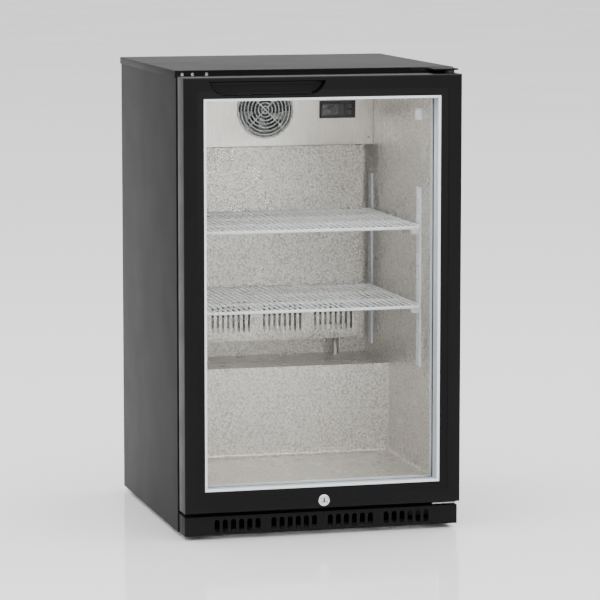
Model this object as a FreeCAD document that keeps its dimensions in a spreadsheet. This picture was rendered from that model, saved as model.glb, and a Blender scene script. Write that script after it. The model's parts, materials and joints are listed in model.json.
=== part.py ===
"""Undercounter refrigerator: a parametric document with one object for each separate piece.

Frame: millimetres, origin on the floor under the middle of the outer box, +X to the right as seen
from the front, the door faces -Y, +Z up.
"""
import FreeCAD, Part
import math
import os
import Sketcher
from FreeCAD import Placement, Rotation, Vector

doc = FreeCAD.newDocument("undercounter_refrigerator")

# name, millimetres (or a count), what it is
SIZES = [
    ("cab_width", 520, "outside width of the cabinet"),
    ("total_height", 850, "floor to worktop"),
    ("cab_depth", 482, "cabinet without the door"),
    ("door_depth", 48, "thickness of the door frame"),
    ("gasket_gap", 14, "door frame to cabinet front"),
    ("foot_height", 8, "floor to base plate"),
    ("top_edge", 13, "height of the worktop's turned-down edge"),
    ("top_over", 2, "worktop past each side panel"),
    ("top_round", 1.5, "rounding of the worktop's edges"),
    ("skin", 1, "sheet metal of cabinet and liner"),
    ("front_return", 20, "side panel's front flange"),
    ("rear_return", 14, "side panel's rear flange"),
    ("fit_gap", 0.3, "clearance between pieces that slip together"),
    ("side_wall", 40, "outside of the cabinet to inside of the liner"),
    ("rear_wall", 42, "back of the cabinet to inside of the liner"),
    ("ceiling_drop", 42, "worktop surface to interior ceiling"),
    ("pan_height", 50, "floor to underside of the insulated floor"),
    ("floor_wall", 42, "thickness of the insulated floor"),
    ("step_height", 264, "floor to the top of the interior step"),
    ("step_depth", 170, "back of the liner to the face of the interior step"),
    ("step_wall", 32, "thickness of the step's insulated face"),
    ("step_lid", 40, "thickness of the step's insulated top"),
    ("throat_depth", 5, "thickness of the throat frame"),
    ("base_sheet", 1.5, "base plate"),
    ("foot_side", 38, "cabinet side to the feet"),
    ("foot_inset", 40, "foot from the front and back of the cabinet"),
    ("foot_radius", 16, "foot pad"),
    ("foot_pad", 6, "height of the foot pad"),
    ("stud_radius", 4, "M8 levelling stud"),
    ("stud_length", 24, "levelling stud above the pad"),
    ("running_gap", 0.05, "radial clearance of shafts and pins"),
    ("boss_radius", 8, "nut welded on the base plate"),
    ("boss_height", 6, "height of that nut"),
    ("kick_height", 35, "kick grille"),
    ("kick_setback", 12, "door front to kick grille"),
    ("kick_side_gap", 2, "cabinet side to kick grille"),
    ("kick_slot_width", 9.4, "one slot"),
    ("kick_slot_height", 23.5, "one slot"),
    ("kick_slot_low", 5, "lower edge of the grille to the slots"),
    ("kick_slot_pitch", 15.3, "slot to slot"),
    ("kick_group_pitch", 106.6, "group to group"),
    ("kick_groups", 4, "groups of slots"),
    ("kick_group_slots", 6, "slots in a group"),
    ("keeper_side", 8, "slot for the lock cam, past the lock's axis on its closed side"),
    ("keeper_reach", 29, "slot for the lock cam, on the side that it swings in from"),
    ("keeper_length", 8, "slot for the lock cam, front to back"),
    ("door_low", 51, "floor to door"),
    ("door_top_gap", 10, "worktop surface to top of the door"),
    ("face_width", 38.5, "visible width of the door frame"),
    ("band_width", 25, "flat outer band of the door frame"),
    ("band_step", 1.5, "step at the inner side of the flat band"),
    ("bevel_drop", 6, "door front to the inner edge of the sloped band"),
    ("edge_round", 3.5, "rounding of the door's outer edges"),
    ("lip_depth", 8, "door front to the face of the glass"),
    ("rebate", 9.5, "how far the frame covers the glass unit"),
    ("rebate_gap", 0.5, "edge of the glass to the frame"),
    ("glass_sheet", 4, "one pane"),
    ("glass_space", 12, "between the panes"),
    ("rail_wall", 3, "wall of the door profile"),
    ("bead_width", 4.5, "white bead inside the frame"),
    ("bead_depth", 2.5, "thickness of the white bead"),
    ("spacer_width", 7, "spacer bar between the panes"),
    ("gasket_width", 13.5, "door gasket"),
    ("gasket_air", 0.5, "gasket to cabinet"),
    ("gasket_wall", 2, "wall of the gasket"),
    ("scoop_side", 46, "side of the door to the end of the finger scoop"),
    ("scoop_half", 109, "half length of the finger scoop at its top"),
    ("scoop_shrink", 26, "each end's slope over the height of the scoop"),
    ("scoop_drop", 6, "top of the door to the scoop"),
    ("scoop_height", 28, "height of the finger scoop"),
    ("scoop_depth", 16, "depth of the cup"),
    ("scoop_wall", 2, "wall of the cup"),
    ("scoop_round", 34, "radius of the scoop's ends"),
    ("pin_inset", 16, "side of the door to the hinge pin"),
    ("pin_front", 28, "front of the door to the hinge pin"),
    ("pin_radius", 4, "hinge pin"),
    ("pin_reach", 17, "hinge pin inside the door"),
    ("bush_radius", 6.9, "hinge bush"),
    ("bush_flange", 9, "radius of the bush's flange"),
    ("bush_length", 14, "bush inside the door"),
    ("tab_sheet", 3, "hinge bracket's tab"),
    ("tab_width", 46, "hinge bracket's tab"),
    ("tab_reach", 44, "cabinet front to the tab's end"),
    ("tab_side", 2, "cabinet side to the tab"),
    ("tab_air", 6, "hinge tab to the top of the door"),
    ("tab_air_low", 3.5, "hinge tab to the bottom of the door"),
    ("plate_sheet", 2, "hinge bracket's plate on the cabinet"),
    ("plate_width", 79, "hinge bracket's plate on the cabinet"),
    ("plate_low", 30, "height of the lower bracket's plate"),
    ("screw_a", 57, "cabinet side to the first hinge screw"),
    ("screw_b", 31, "cabinet side to the second hinge screw"),
    ("screw_c", 12, "cabinet side to the third hinge screw"),
    ("screw_drop", 7.5, "worktop surface to the hinge screws"),
    ("screw_hole", 2.1, "radius of the hinge screw holes"),
    ("screw_radius", 2, "hinge screw"),
    ("screw_head", 3.4, "radius of the screw head"),
    ("screw_head_height", 1.8, "height of the screw head"),
    ("screw_length", 8, "hinge screw"),
    ("lock_height", 14.4, "bottom of the door to the lock"),
    ("lock_radius", 8.5, "barrel of the lock"),
    ("lock_rim", 10.5, "radius of the lock's front rim"),
    ("lock_rim_depth", 1.5, "front rim"),
    ("plug_radius", 5.5, "turning plug"),
    ("lock_nut_radius", 10.2, "nut behind the door"),
    ("lock_nut_depth", 3.5, "nut behind the door"),
    ("cam_width", 11, "lock cam"),
    ("cam_sheet", 2, "lock cam"),
    ("cam_length", 32, "lock cam from its axis"),
    ("cover_depth", 55, "back of the liner to the face of the evaporator cover"),
    ("cover_side_air", 20, "liner wall to the evaporator cover"),
    ("cover_low", 300, "floor to the evaporator cover"),
    ("seam_drop", 171, "worktop surface to the seam under the fan panel"),
    ("cover_slot_width", 5, "air slot"),
    ("cover_slot_height", 60, "air slot"),
    ("cover_slot_low", 17, "lower edge of the cover to the slots"),
    ("cover_slot_pitch", 10.4, "slot to slot"),
    ("cover_group_side", 303, "side of the cover to the furthest slot"),
    ("cover_group_pitch", 103, "group to group"),
    ("cover_groups", 3, "groups of slots"),
    ("cover_group_slots", 8, "slots in a group"),
    ("fan_drop", 100.5, "worktop surface to the evaporator fan's axis"),
    ("fan_side", 2.5, "evaporator fan's axis from the middle"),
    ("fan_opening", 53, "radius of the fan's opening"),
    ("guard_radius", 55, "outer ring of the guard"),
    ("guard_rings", 8, "rings of the guard"),
    ("guard_wire", 1.3, "radius of the guard's wire"),
    ("fan_tip", 46, "radius of the evaporator fan"),
    ("fan_hub", 14, "hub of the evaporator fan"),
    ("fan_thick", 12, "depth of the evaporator fan's blades"),
    ("fan_blades", 5, "blades of each fan"),
    ("blade_share", 1.6, "width of a blade's sheet over the fan's depth, before it is trimmed"),
    ("blade_angle", 52, "tilt of a blade's sheet out of the fan's axis"),
    ("hub_front", 2, "front of a fan's hub to its bore"),
    ("blade_sheet", 1.6, "thickness of a fan blade"),
    ("shaft_radius", 2, "fan shaft"),
    ("motor_radius", 17, "evaporator fan's motor"),
    ("motor_depth", 20, "evaporator fan's motor"),
    ("bracket_sheet", 2, "bracket of the evaporator fan's motor"),
    ("bracket_tall", 10, "height of that bracket"),
    ("bracket_air", 6, "fan opening to the bracket's legs"),
    ("control_inset", 73, "liner wall to the controller's middle"),
    ("control_drop", 102, "worktop surface to the controller's middle"),
    ("control_width", 72, "bezel"),
    ("control_tall", 34, "bezel"),
    ("control_proud", 4, "bezel in front of the panel"),
    ("control_rim", 2.5, "bezel past its cut-out"),
    ("control_body", 40, "depth behind the panel"),
    ("button_width", 9, "controller button"),
    ("button_tall", 6, "controller button"),
    ("button_thick", 2.5, "controller button"),
    ("button_proud", 1.5, "button in front of the bezel"),
    ("button_travel", 0.8, "button's stroke"),
    ("button_inset", 4, "end of the bezel to the buttons"),
    ("coil_side_air", 35, "side of the cover to the evaporator coil"),
    ("coil_low", 345, "floor to the evaporator coil"),
    ("coil_top_air", 39, "seam to the top of the evaporator coil"),
    ("coil_depth", 36, "depth of the fins"),
    ("coil_air", 3, "back of the coil to the liner"),
    ("fin_pitch", 11, "fin to fin"),
    ("fin_sheet", 0.8, "thickness of a fin"),
    ("coil_tube", 4, "radius of the coil's tube"),
    ("coil_rows", 10, "tube runs of the evaporator"),
    ("tray_height", 18, "drip tray"),
    ("drain_radius", 7, "drain tube"),
    ("machine_air", 6, "clearance round the pieces in the machine room"),
    ("pilaster_width", 23, "shelf pilaster"),
    ("pilaster_depth", 3, "shelf pilaster off the wall"),
    ("pilaster_lift", 22, "interior step to the pilasters"),
    ("pilaster_drop", 186, "interior ceiling to their tops"),
    ("pilaster_front", 60, "cabinet front to the front pilasters"),
    ("pilaster_rear", 54, "back of the liner to the rear pilasters"),
    ("notch_pitch", 25, "pilaster slots"),
    ("notch_width", 11, "pilaster slots"),
    ("notch_tall", 4, "pilaster slots"),
    ("shelf_front", 32, "cabinet front to the shelves"),
    ("shelf_air", 5, "shelf to evaporator cover"),
    ("shelf_side_air", 5.5, "shelf to liner"),
    ("shelf_drop", 252, "interior ceiling to the upper shelf's surface"),
    ("shelf_bias", 2, "lower shelf below the middle between the upper one and the step"),
    ("wire_radius", 1.5, "shelf wire"),
    ("wire_pitch", 11.5, "wire to wire"),
    ("rod_radius", 3, "cross rods of a shelf"),
    ("rod_bite", 0.6, "weld depth of wire into rod"),
    ("shelf_rods", 4, "cross rods of a shelf"),
    ("clip_reach", 13, "shelf clip off the wall"),
    ("clip_width", 14, "shelf clip"),
    ("clip_tall", 12, "shelf clip"),
    ("lamp_half", 160, "half length of the lamp"),
    ("lamp_front", 18, "cabinet front to the lamp"),
    ("lamp_width", 24, "lamp"),
    ("lamp_tall", 9, "lamp housing"),
    ("lens_tall", 4, "lamp diffuser"),
    ("switch_front", 56, "cabinet front to the light switch"),
    ("switch_drop", 102, "worktop surface to the light switch"),
    ("switch_width", 30, "light switch"),
    ("switch_tall", 22, "light switch"),
    ("switch_depth", 6, "light switch off the wall"),
    ("switch_rim", 3, "rim round the rocker"),
    ("rocker_angle", 8, "tilt of the rocker"),
    ("comp_gap", 48, "cabinet side to the compressor's foot plate"),
    ("comp_rear", 88, "back of the cabinet to the compressor"),
    ("comp_radius", 66, "compressor shell"),
    ("comp_low", 24, "floor to the shell"),
    ("comp_high", 178, "floor to the shell's top"),
    ("comp_foot", 3, "compressor's foot plate"),
    ("comp_dome", 0.6, "height of the shell's lid over its radius"),
    ("plate_over", 6, "foot plate past the shell at each side"),
    ("plate_short", 8, "foot plate short of the shell at front and back"),
    ("grommet_radius", 8, "rubber foot"),
    ("grommet_side", 4, "side of the shell to the rubber feet"),
    ("grommet_front", 18, "front of the shell to the rubber feet"),
    ("relay_bite", 4, "relay box inside the shell's outline"),
    ("relay_reach", 34, "length of the relay box"),
    ("relay_width", 48, "width of the relay box"),
    ("relay_low", 30, "foot plate to the relay box"),
    ("relay_tall", 62, "height of the relay box"),
    ("condenser_side", 38, "cabinet side to the condenser"),
    ("condenser_half", 100, "half width of the condenser"),
    ("condenser_depth", 26, "depth of the condenser"),
    ("condenser_high", 196, "floor to the condenser's top"),
    ("condenser_rows", 8, "tube runs of the condenser"),
    ("condenser_air", 6, "bulkhead to condenser"),
    ("shroud_half", 78, "half side of the condenser fan's frame"),
    ("shroud_depth", 26, "condenser fan's frame"),
    ("shroud_air", 2, "condenser to the fan's frame"),
    ("tip_air", 3, "fan to its frame"),
    ("fan_room", 8, "depth of the frame that the fan leaves free"),
    ("cond_bar_tall", 16, "bar that holds the condenser fan's motor"),
    ("cond_bar_sheet", 3, "thickness of that bar"),
    ("cond_shaft", 14, "shaft in front of the condenser fan's motor"),
    ("cond_fan_tip", 66, "radius of the condenser fan"),
    ("cond_fan_hub", 20, "hub of the condenser fan"),
    ("cond_fan_height", 110, "floor to the condenser fan's axis"),
    ("cond_motor_radius", 24, "condenser fan's motor"),
    ("cond_motor_depth", 36, "condenser fan's motor"),
    ("drier_radius", 10, "filter drier"),
    ("drier_length", 90, "filter drier"),
    ("pipe_radius", 3.2, "refrigerant pipe"),
    ("pipe_bend", 10, "bend radius of a pipe"),
    ("pan_tray_tall", 13, "evaporation tray"),
    ("pan_tray_side", 8, "side of the cabinet to the evaporation tray"),
    ("pan_tray_air", 4, "evaporation tray to the bulkhead and to the foot plate"),
    ("pan_tray_end", 30, "condenser to the evaporation tray"),
    ("inlet_side", 55, "cabinet side to the mains inlet"),
    ("inlet_height", 40, "floor to the mains inlet"),
    ("inlet_width", 30, "mains inlet's flange"),
    ("inlet_tall", 24, "mains inlet's flange"),
    ("inlet_rim", 3, "flange round the socket"),
    ("inlet_depth", 22, "mains inlet behind the grille"),
    ("inlet_socket", 16, "depth of its socket"),
    ("inlet_wall", 1.5, "wall of its socket"),
    ("contact_pitch", 7, "middle contact to the outer ones"),
    ("contact_low", 1.5, "inlet's middle to the outer contacts"),
    ("contact_high", 4.5, "inlet's middle to the middle contact"),
    ("contact_wide", 2, "contact"),
    ("contact_tall", 4, "contact"),
    ("contact_short", 2, "contacts behind the inlet's face"),
    ("rear_slot_length", 96, "louvre of the rear grille"),
    ("rear_slot_tall", 5, "louvre of the rear grille"),
    ("rear_slot_pitch", 13, "louvre to louvre"),
    ("rear_slots", 11, "louvres in a column"),
    ("rear_column_gap", 30, "between the columns of louvres"),
]

sheet = doc.addObject("Spreadsheet::Sheet", "dims")
for row, (name, number, note) in enumerate(SIZES, start=1):
    sheet.set(f"A{row}", note)
    sheet.set(f"B{row}", str(number))
    sheet.setAlias(f"B{row}", name)
doc.recompute()


class Size:
    """A length as the sheet's expression and as today's number, so sums of sizes stay bound."""

    def __init__(self, text, number):
        self.text = text
        self.number = number

    def join(self, sign, other, number):
        return Size(f"({self.text} {sign} {other.text})", number)

    def __add__(self, other):
        other = as_size(other)
        return self.join("+", other, self.number + other.number)

    def __sub__(self, other):
        other = as_size(other)
        return self.join("-", other, self.number - other.number)

    def __mul__(self, other):
        other = as_size(other)
        return self.join("*", other, self.number * other.number)

    def __truediv__(self, other):
        other = as_size(other)
        return self.join("/", other, self.number / other.number)

    def __neg__(self):
        return as_size(0) - self

    def __radd__(self, other):
        return as_size(other) + self

    def __rsub__(self, other):
        return as_size(other) - self

    def __rmul__(self, other):
        return as_size(other) * self


def as_size(value):
    return value if isinstance(value, Size) else Size(repr(value), value)


class Dims:
    """Every size of the sheet by its own name."""

    def __init__(self):
        for name, _number, _note in SIZES:
            setattr(self, name, Size(f"dims.{name}", float(getattr(sheet, name))))


d = Dims()
HALF = d.cab_width / 2
FRONT = (d.gasket_gap + d.door_depth + d.lock_rim_depth - d.cab_depth) / 2
BACK = FRONT + d.cab_depth
DOOR_BACK = FRONT - d.gasket_gap
DOOR_FRONT = DOOR_BACK - d.door_depth
TOP = d.total_height
TOP_LOW = TOP - d.top_edge
INNER = HALF - d.side_wall
INNER_BACK = BACK - d.rear_wall
CEILING = TOP - d.ceiling_drop
FLOOR = d.pan_height + d.floor_wall
STEP_FACE = INNER_BACK - d.step_depth
ROOM_FRONT = STEP_FACE + d.step_wall
ROOM_TOP = d.step_height - d.step_lid
DOOR_TOP = TOP - d.door_top_gap
DOOR_HEIGHT = DOOR_TOP - d.door_low
COVER = INNER_BACK - d.cover_depth
COVER_HALF = INNER - d.cover_side_air
COIL_HALF = COVER_HALF - d.coil_side_air
SEAM = TOP - d.seam_drop
FAN_Z = TOP - d.fan_drop
COMP_X = d.comp_gap + d.plate_over + d.comp_radius - HALF
UPPER_SHELF = CEILING - d.shelf_drop
LOWER_SHELF = (UPPER_SHELF + d.step_height) / 2 - d.shelf_bias
PILASTER_LOW = d.step_height + d.pilaster_lift
PILASTER_HIGH = CEILING - d.pilaster_drop
CONDENSER_X = HALF - d.condenser_side - 2 * d.condenser_half
SCREW_X = [HALF - side for side in (d.screw_a, d.screw_b, d.screw_c)]
PIN_X = HALF - d.pin_inset
PIN_Y = DOOR_FRONT + d.pin_front
CONDENSER_LOW = d.foot_height + d.base_sheet + d.machine_air
DRAIN_X = COIL_HALF - 2 * d.drain_radius
DRAIN_Y = (COVER + INNER_BACK) / 2

AXIS_TURN = {
    "x": Rotation(Vector(0, 1, 0), 90),
    "y": Rotation(Vector(1, 0, 0), -90),
    "z": Rotation(),
}
SUBPARTS = []


# ---------------------------------------------------------------- helpers

def bind(thing, prop, value):
    """Binds one property to the sheet."""
    thing.setExpression(prop, as_size(value).text)


def place(thing, position, turn=None):
    thing.Placement = Placement(Vector(), turn or Rotation())
    for axis, value in zip("xyz", position):
        bind(thing, f"Placement.Base.{axis}", value)
    return thing


def subpart(node, thing):
    """Names the object that is one separate piece and exports under that name."""
    thing.Label = node
    SUBPARTS.append(thing)
    return thing


def box(name, low, high):
    solid = doc.addObject("Part::Box", name)
    for prop, start, end in zip(("Length", "Width", "Height"), low, high):
        bind(solid, prop, as_size(end) - start)
    return place(solid, low)


def cylinder(name, start, axis, radius, length):
    """A cylinder that runs from start along +axis."""
    solid = doc.addObject("Part::Cylinder", name)
    bind(solid, "Radius", radius)
    bind(solid, "Height", length)
    return place(solid, start, AXIS_TURN[axis])


def fuse(name, things):
    joined = doc.addObject("Part::MultiFuse", name)
    joined.Shapes = things
    return joined


def cut(name, base, tools):
    tool = tools[0] if len(tools) == 1 else fuse(f"{name}_tools", tools)
    result = doc.addObject("Part::Cut", name)
    result.Base = base
    result.Tool = tool
    return result


def group(name, things):
    """Several separate solids that share one node."""
    bundle = doc.addObject("Part::Compound", name)
    bundle.Links = things
    return bundle


def tray(name, low, high, wall, open_side):
    """A box with one side open: open_side is 'x', 'y' or 'z' with a sign."""
    shell = box(f"{name}_outer", low, high)
    inside = [[as_size(start) + wall, as_size(end) - wall] for start, end in zip(low, high)]
    axis = "xyz".index(open_side[1])
    end = 1 if open_side[0] == "+" else 0
    inside[axis][end] = as_size((low, high)[end][axis]) + (wall if end else -as_size(wall))
    hollow = box(f"{name}_inner", [pair[0] for pair in inside], [pair[1] for pair in inside])
    return cut(name, shell, [hollow])


def new_body(name):
    return doc.addObject("PartDesign::Body", name)


def origin_plane(body, role):
    return next(item for item in body.Origin.OriginFeatures if item.Role == role)


def draw_outline(sketch, points):
    """Draws a closed outline. A point is (x, y), or (x, y, radius) where the edge that follows is
    an arc that bulges to the right of the way round for a positive radius, to the left for a
    negative one."""
    first = sketch.GeometryCount
    ends = []
    for index, point in enumerate(points):
        here = Vector(as_size(point[0]).number, as_size(point[1]).number, 0)
        following = points[(index + 1) % len(points)]
        there = Vector(as_size(following[0]).number, as_size(following[1]).number, 0)
        if len(point) == 2:
            sketch.addGeometry(Part.LineSegment(here, there), False)
            ends.append((1, 2))
            continue
        radius = as_size(point[2]).number
        chord = there - here
        rise = math.sqrt(max(radius ** 2 - (chord.Length / 2) ** 2, 0.0))
        side = Vector(-chord.y, chord.x, 0).normalize()
        centre = (here + there) / 2 + side * math.copysign(rise, radius)
        start, stop = (here, there) if radius > 0 else (there, here)
        angles = [math.atan2(p.y - centre.y, p.x - centre.x) for p in (start, stop)]
        circle = Part.Circle(centre, Vector(0, 0, 1), abs(radius))
        sketch.addGeometry(Part.ArcOfCircle(circle, angles[0], angles[1]), False)
        ends.append((1, 2) if radius > 0 else (2, 1))
    for index, point in enumerate(points):
        here = first + index
        following = (index + 1) % len(points)
        sketch.addConstraint(Sketcher.Constraint("Coincident", here, ends[index][1],
                                                 first + following, ends[following][0]))
        for kind, value in zip(("DistanceX", "DistanceY"), point):
            value = as_size(value)
            number = sketch.addConstraint(
                Sketcher.Constraint(kind, -1, 1, here, ends[index][0], value.number))
            sketch.setExpression(f"Constraints[{number}]", value.text)
        if len(point) == 3:
            bind_arc(sketch, here, point, points[following])


def bind_arc(sketch, number, point, following):
    """Binds an arc's radius, or for a half circle the place of its centre on the chord."""
    chord = [as_size(following[axis]).number - as_size(point[axis]).number for axis in (0, 1)]
    radius = as_size(point[2])
    if abs(math.hypot(*chord) - 2 * abs(radius.number)) > 1e-6:
        at = sketch.addConstraint(Sketcher.Constraint("Radius", number, abs(radius.number)))
        sketch.setExpression(f"Constraints[{at}]", f"abs({radius.text})")
        return
    axis = 0 if abs(chord[0]) < abs(chord[1]) else 1
    value = as_size(point[axis])
    kind = ("DistanceX", "DistanceY")[axis]
    at = sketch.addConstraint(Sketcher.Constraint(kind, -1, 1, number, 3, value.number))
    sketch.setExpression(f"Constraints[{at}]", value.text)


def draw_circle(sketch, x, y, radius):
    centre = Vector(as_size(x).number, as_size(y).number, 0)
    number = sketch.addGeometry(Part.Circle(centre, Vector(0, 0, 1), as_size(radius).number), False)
    for kind, value in (("DistanceX", x), ("DistanceY", y)):
        value = as_size(value)
        at = sketch.addConstraint(Sketcher.Constraint(kind, -1, 1, number, 3, value.number))
        sketch.setExpression(f"Constraints[{at}]", value.text)
    at = sketch.addConstraint(Sketcher.Constraint("Radius", number, as_size(radius).number))
    sketch.setExpression(f"Constraints[{at}]", as_size(radius).text)


def sketch_on(body, name, role, height, outlines=(), circles=()):
    """A sketch on one of the body's own planes, moved along that plane's normal by height."""
    sketch = body.newObject("Sketcher::SketchObject", name)
    sketch.AttachmentSupport = [(origin_plane(body, role), "")]
    sketch.MapMode = "FlatFace"
    sketch.AttachmentOffset = Placement(Vector(0, 0, as_size(height).number), Rotation())
    bind(sketch, "AttachmentOffset.Base.z", height)
    for outline in outlines:
        draw_outline(sketch, outline)
    for circle in circles:
        draw_circle(sketch, *circle)
    return sketch


def pad(body, name, sketch, length, reverse=False):
    feature = body.newObject("PartDesign::Pad", name)
    feature.Profile = sketch
    feature.Reversed = reverse
    bind(feature, "Length", length)
    sketch.Visibility = False
    return feature


def pocket(body, name, sketch, length):
    feature = body.newObject("PartDesign::Pocket", name)
    feature.Profile = sketch
    bind(feature, "Length", length)
    return feature


def pattern(body, name, features, sketch, axis, length, count):
    """Repeats features along a sketch axis, H_Axis or V_Axis, over length."""
    feature = body.newObject("PartDesign::LinearPattern", name)
    feature.Originals = features
    feature.Direction = (sketch, [axis])
    bind(feature, "Length", length)
    bind(feature, "Occurrences", count)
    body.Tip = feature
    return feature


def rectangle(x0, y0, x1, y1):
    return [(x0, y0), (x1, y0), (x1, y1), (x0, y1)]


def upright_slot(x, y, width, height):
    """A slot with round ends; x, y is the middle of its lower end."""
    left, right = x - width / 2, x + width / 2
    low, high = y + width / 2, y + height - width / 2
    return [(left, low, width / 2), (right, low), (right, high, width / 2), (left, high)]


def level_slot(x, y, length, height):
    """A slot with round ends; x, y is the middle of its left end."""
    low, high = y - height / 2, y + height / 2
    left, right = x + height / 2, x + length - height / 2
    return [(left, low), (right, low, height / 2), (right, high), (left, high, height / 2)]


# ---------------------------------------------------------------- cabinet

def make_side_panel(node, mirrored):
    """A sheet side with a flange turned in at the front and at the back."""
    body = new_body(node)
    sign = -1 if mirrored else 1
    outline = [
        (sign * HALF, FRONT), (sign * HALF, BACK),
        (sign * (HALF - d.rear_return), BACK), (sign * (HALF - d.rear_return), BACK - d.skin),
        (sign * (HALF - d.skin), BACK - d.skin), (sign * (HALF - d.skin), FRONT + d.skin),
        (sign * (HALF - d.front_return), FRONT + d.skin), (sign * (HALF - d.front_return), FRONT),
    ]
    profile = sketch_on(body, f"{node}_profile", "XY_Plane", d.foot_height, [outline])
    pad(body, f"{node}_pad", profile, TOP_LOW - d.foot_height)
    return subpart(node, body)


def make_worktop():
    """A shallow sheet tray, edges down, with hinge screw holes at both ends of its front edge."""
    half = HALF + d.top_over
    block = box("worktop_block", (-half, FRONT, TOP_LOW), (half, BACK, TOP))
    rounded = doc.addObject("Part::Fillet", "worktop_round")
    rounded.Base = block
    doc.recompute()
    top_edges = [number for number, edge in enumerate(block.Shape.Edges, start=1)
                 if all(abs(v.Z - TOP.number) < 1e-6 for v in edge.Vertexes)]
    rounded.Edges = [(number, d.top_round.number, d.top_round.number) for number in top_edges]
    tools = [box("worktop_hollow", (d.skin - half, FRONT + d.skin, TOP_LOW - d.skin),
                 (half - d.skin, BACK - d.skin, TOP - d.skin))]
    for side in (-1, 1):
        for place_x in SCREW_X:
            start = (side * place_x, FRONT - d.skin, TOP - d.screw_drop)
            tools.append(cylinder("worktop_hole", start, "y", d.screw_hole, 3 * d.skin))
    return subpart("worktop", cut("worktop", rounded, tools))


def make_back_panel():
    edge = HALF - d.skin - d.fit_gap
    return subpart("back_panel", box("back_panel", (-edge, BACK - 2 * d.skin, ROOM_TOP),
                                     (edge, BACK - d.skin, TOP_LOW - d.fit_gap)))


def make_rear_grille():
    """The machine room's cover: three columns of louvres and a cut-out for the mains inlet."""
    body = new_body("rear_grille")
    edge = HALF - d.skin - d.fit_gap
    low = d.foot_height + d.base_sheet + d.fit_gap
    outer = sketch_on(body, "rear_outline", "XZ_Plane", -(BACK - 2 * d.skin),
                      [rectangle(-edge, low, edge, ROOM_TOP - d.fit_gap)])
    pad(body, "rear_pad", outer, d.skin, reverse=True)
    columns = [level_slot(d.rear_slot_length * (column - 0.5) + d.rear_column_gap * column,
                          d.inlet_height + d.inlet_tall, d.rear_slot_length, d.rear_slot_tall)
               for column in (-1, 0, 1)]
    slots = sketch_on(body, "rear_slots_sketch", "XZ_Plane", -(BACK - 3 * d.skin), columns)
    louvres = pocket(body, "rear_louvres", slots, 3 * d.skin)
    pattern(body, "rear_pattern", [louvres], slots, "V_Axis",
            d.rear_slot_pitch * (d.rear_slots - 1), d.rear_slots)
    half_width = d.inlet_width / 2 - d.inlet_rim + d.fit_gap
    half_tall = d.inlet_tall / 2 - d.inlet_rim + d.fit_gap
    hole = sketch_on(body, "rear_inlet_sketch", "XZ_Plane", -(BACK - 3 * d.skin),
                     [rectangle(HALF - d.inlet_side - half_width, d.inlet_height - half_tall,
                                HALF - d.inlet_side + half_width, d.inlet_height + half_tall)])
    body.Tip = pocket(body, "rear_inlet", hole, 3 * d.skin)
    return subpart("rear_grille", body)


def foot_positions():
    side, front, rear = HALF - d.foot_side, FRONT + d.foot_inset, BACK - d.foot_inset
    return [("foot_front_left", -side, front), ("foot_front_right", side, front),
            ("foot_rear_left", -side, rear), ("foot_rear_right", side, rear)]


def make_base_plate():
    """The bottom sheet with four threaded bosses for the feet."""
    edge = HALF - d.skin - d.fit_gap
    plate = box("base_sheet_metal", (-edge, FRONT + d.skin + d.fit_gap, d.foot_height),
                (edge, BACK - 2 * d.skin - d.fit_gap, d.foot_height + d.base_sheet))
    bosses, holes = [plate], []
    for node, x, y in foot_positions():
        bosses.append(cylinder(f"{node}_boss", (x, y, d.foot_height), "z", d.boss_radius,
                               d.base_sheet + d.boss_height))
        holes.append(cylinder(f"{node}_bore", (x, y, d.foot_height - d.skin), "z",
                              d.stud_radius + d.running_gap,
                              d.base_sheet + d.boss_height + 2 * d.skin))
    return subpart("base_plate", cut("base_plate", fuse("base_blank", bosses), holes))


def make_foot(node, x, y):
    """A pad with a cone and a stud that screws up into the base plate."""
    sole = cylinder(f"{node}_pad", (x, y, 0), "z", d.foot_radius, d.foot_pad)
    stud = cylinder(f"{node}_stud", (x, y, d.foot_pad - d.skin), "z", d.stud_radius,
                    d.stud_length + d.skin)
    return subpart(node, fuse(node, [sole, stud]))


def make_bulkhead():
    """The folded sheet under the insulated floor, up the step and over the machine room."""
    body = new_body("machine_bulkhead")
    start, end = FRONT + d.skin, BACK - 2 * d.skin
    outline = [
        (start, d.pan_height - d.skin), (ROOM_FRONT, d.pan_height - d.skin),
        (ROOM_FRONT, ROOM_TOP - d.skin), (end, ROOM_TOP - d.skin), (end, ROOM_TOP),
        (ROOM_FRONT - d.skin, ROOM_TOP), (ROOM_FRONT - d.skin, d.pan_height),
        (start, d.pan_height),
    ]
    profile = sketch_on(body, "bulkhead_profile", "YZ_Plane", -(HALF - d.skin), [outline])
    pad(body, "bulkhead_pad", profile, 2 * (HALF - d.skin))
    return subpart("machine_bulkhead", body)


def make_insulation():
    """The foam between the outer sheets and the liner, in one piece."""
    edge = HALF - d.skin
    block = box("foam_block", (-edge, FRONT + d.skin, d.pan_height),
                (edge, BACK - 2 * d.skin, TOP - d.skin))
    cavity = box("foam_cavity", (-INNER - d.skin, FRONT, FLOOR - d.skin),
                 (INNER + d.skin, STEP_FACE + d.skin, CEILING + d.skin))
    upper = box("foam_upper_cavity", (-INNER - d.skin, STEP_FACE, d.step_height - d.skin),
                (INNER + d.skin, INNER_BACK + d.skin, CEILING + d.skin))
    room = box("foam_machine_room", (-HALF, ROOM_FRONT - d.skin, d.foot_height),
               (HALF, BACK, ROOM_TOP))
    throat_edge = HALF - d.front_return
    throat = box("foam_throat", (-throat_edge, FRONT, d.foot_height),
                 (throat_edge, FRONT + d.throat_depth, TOP_LOW))
    return subpart("insulation", cut("insulation", block, [cavity, upper, room, throat]))


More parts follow.
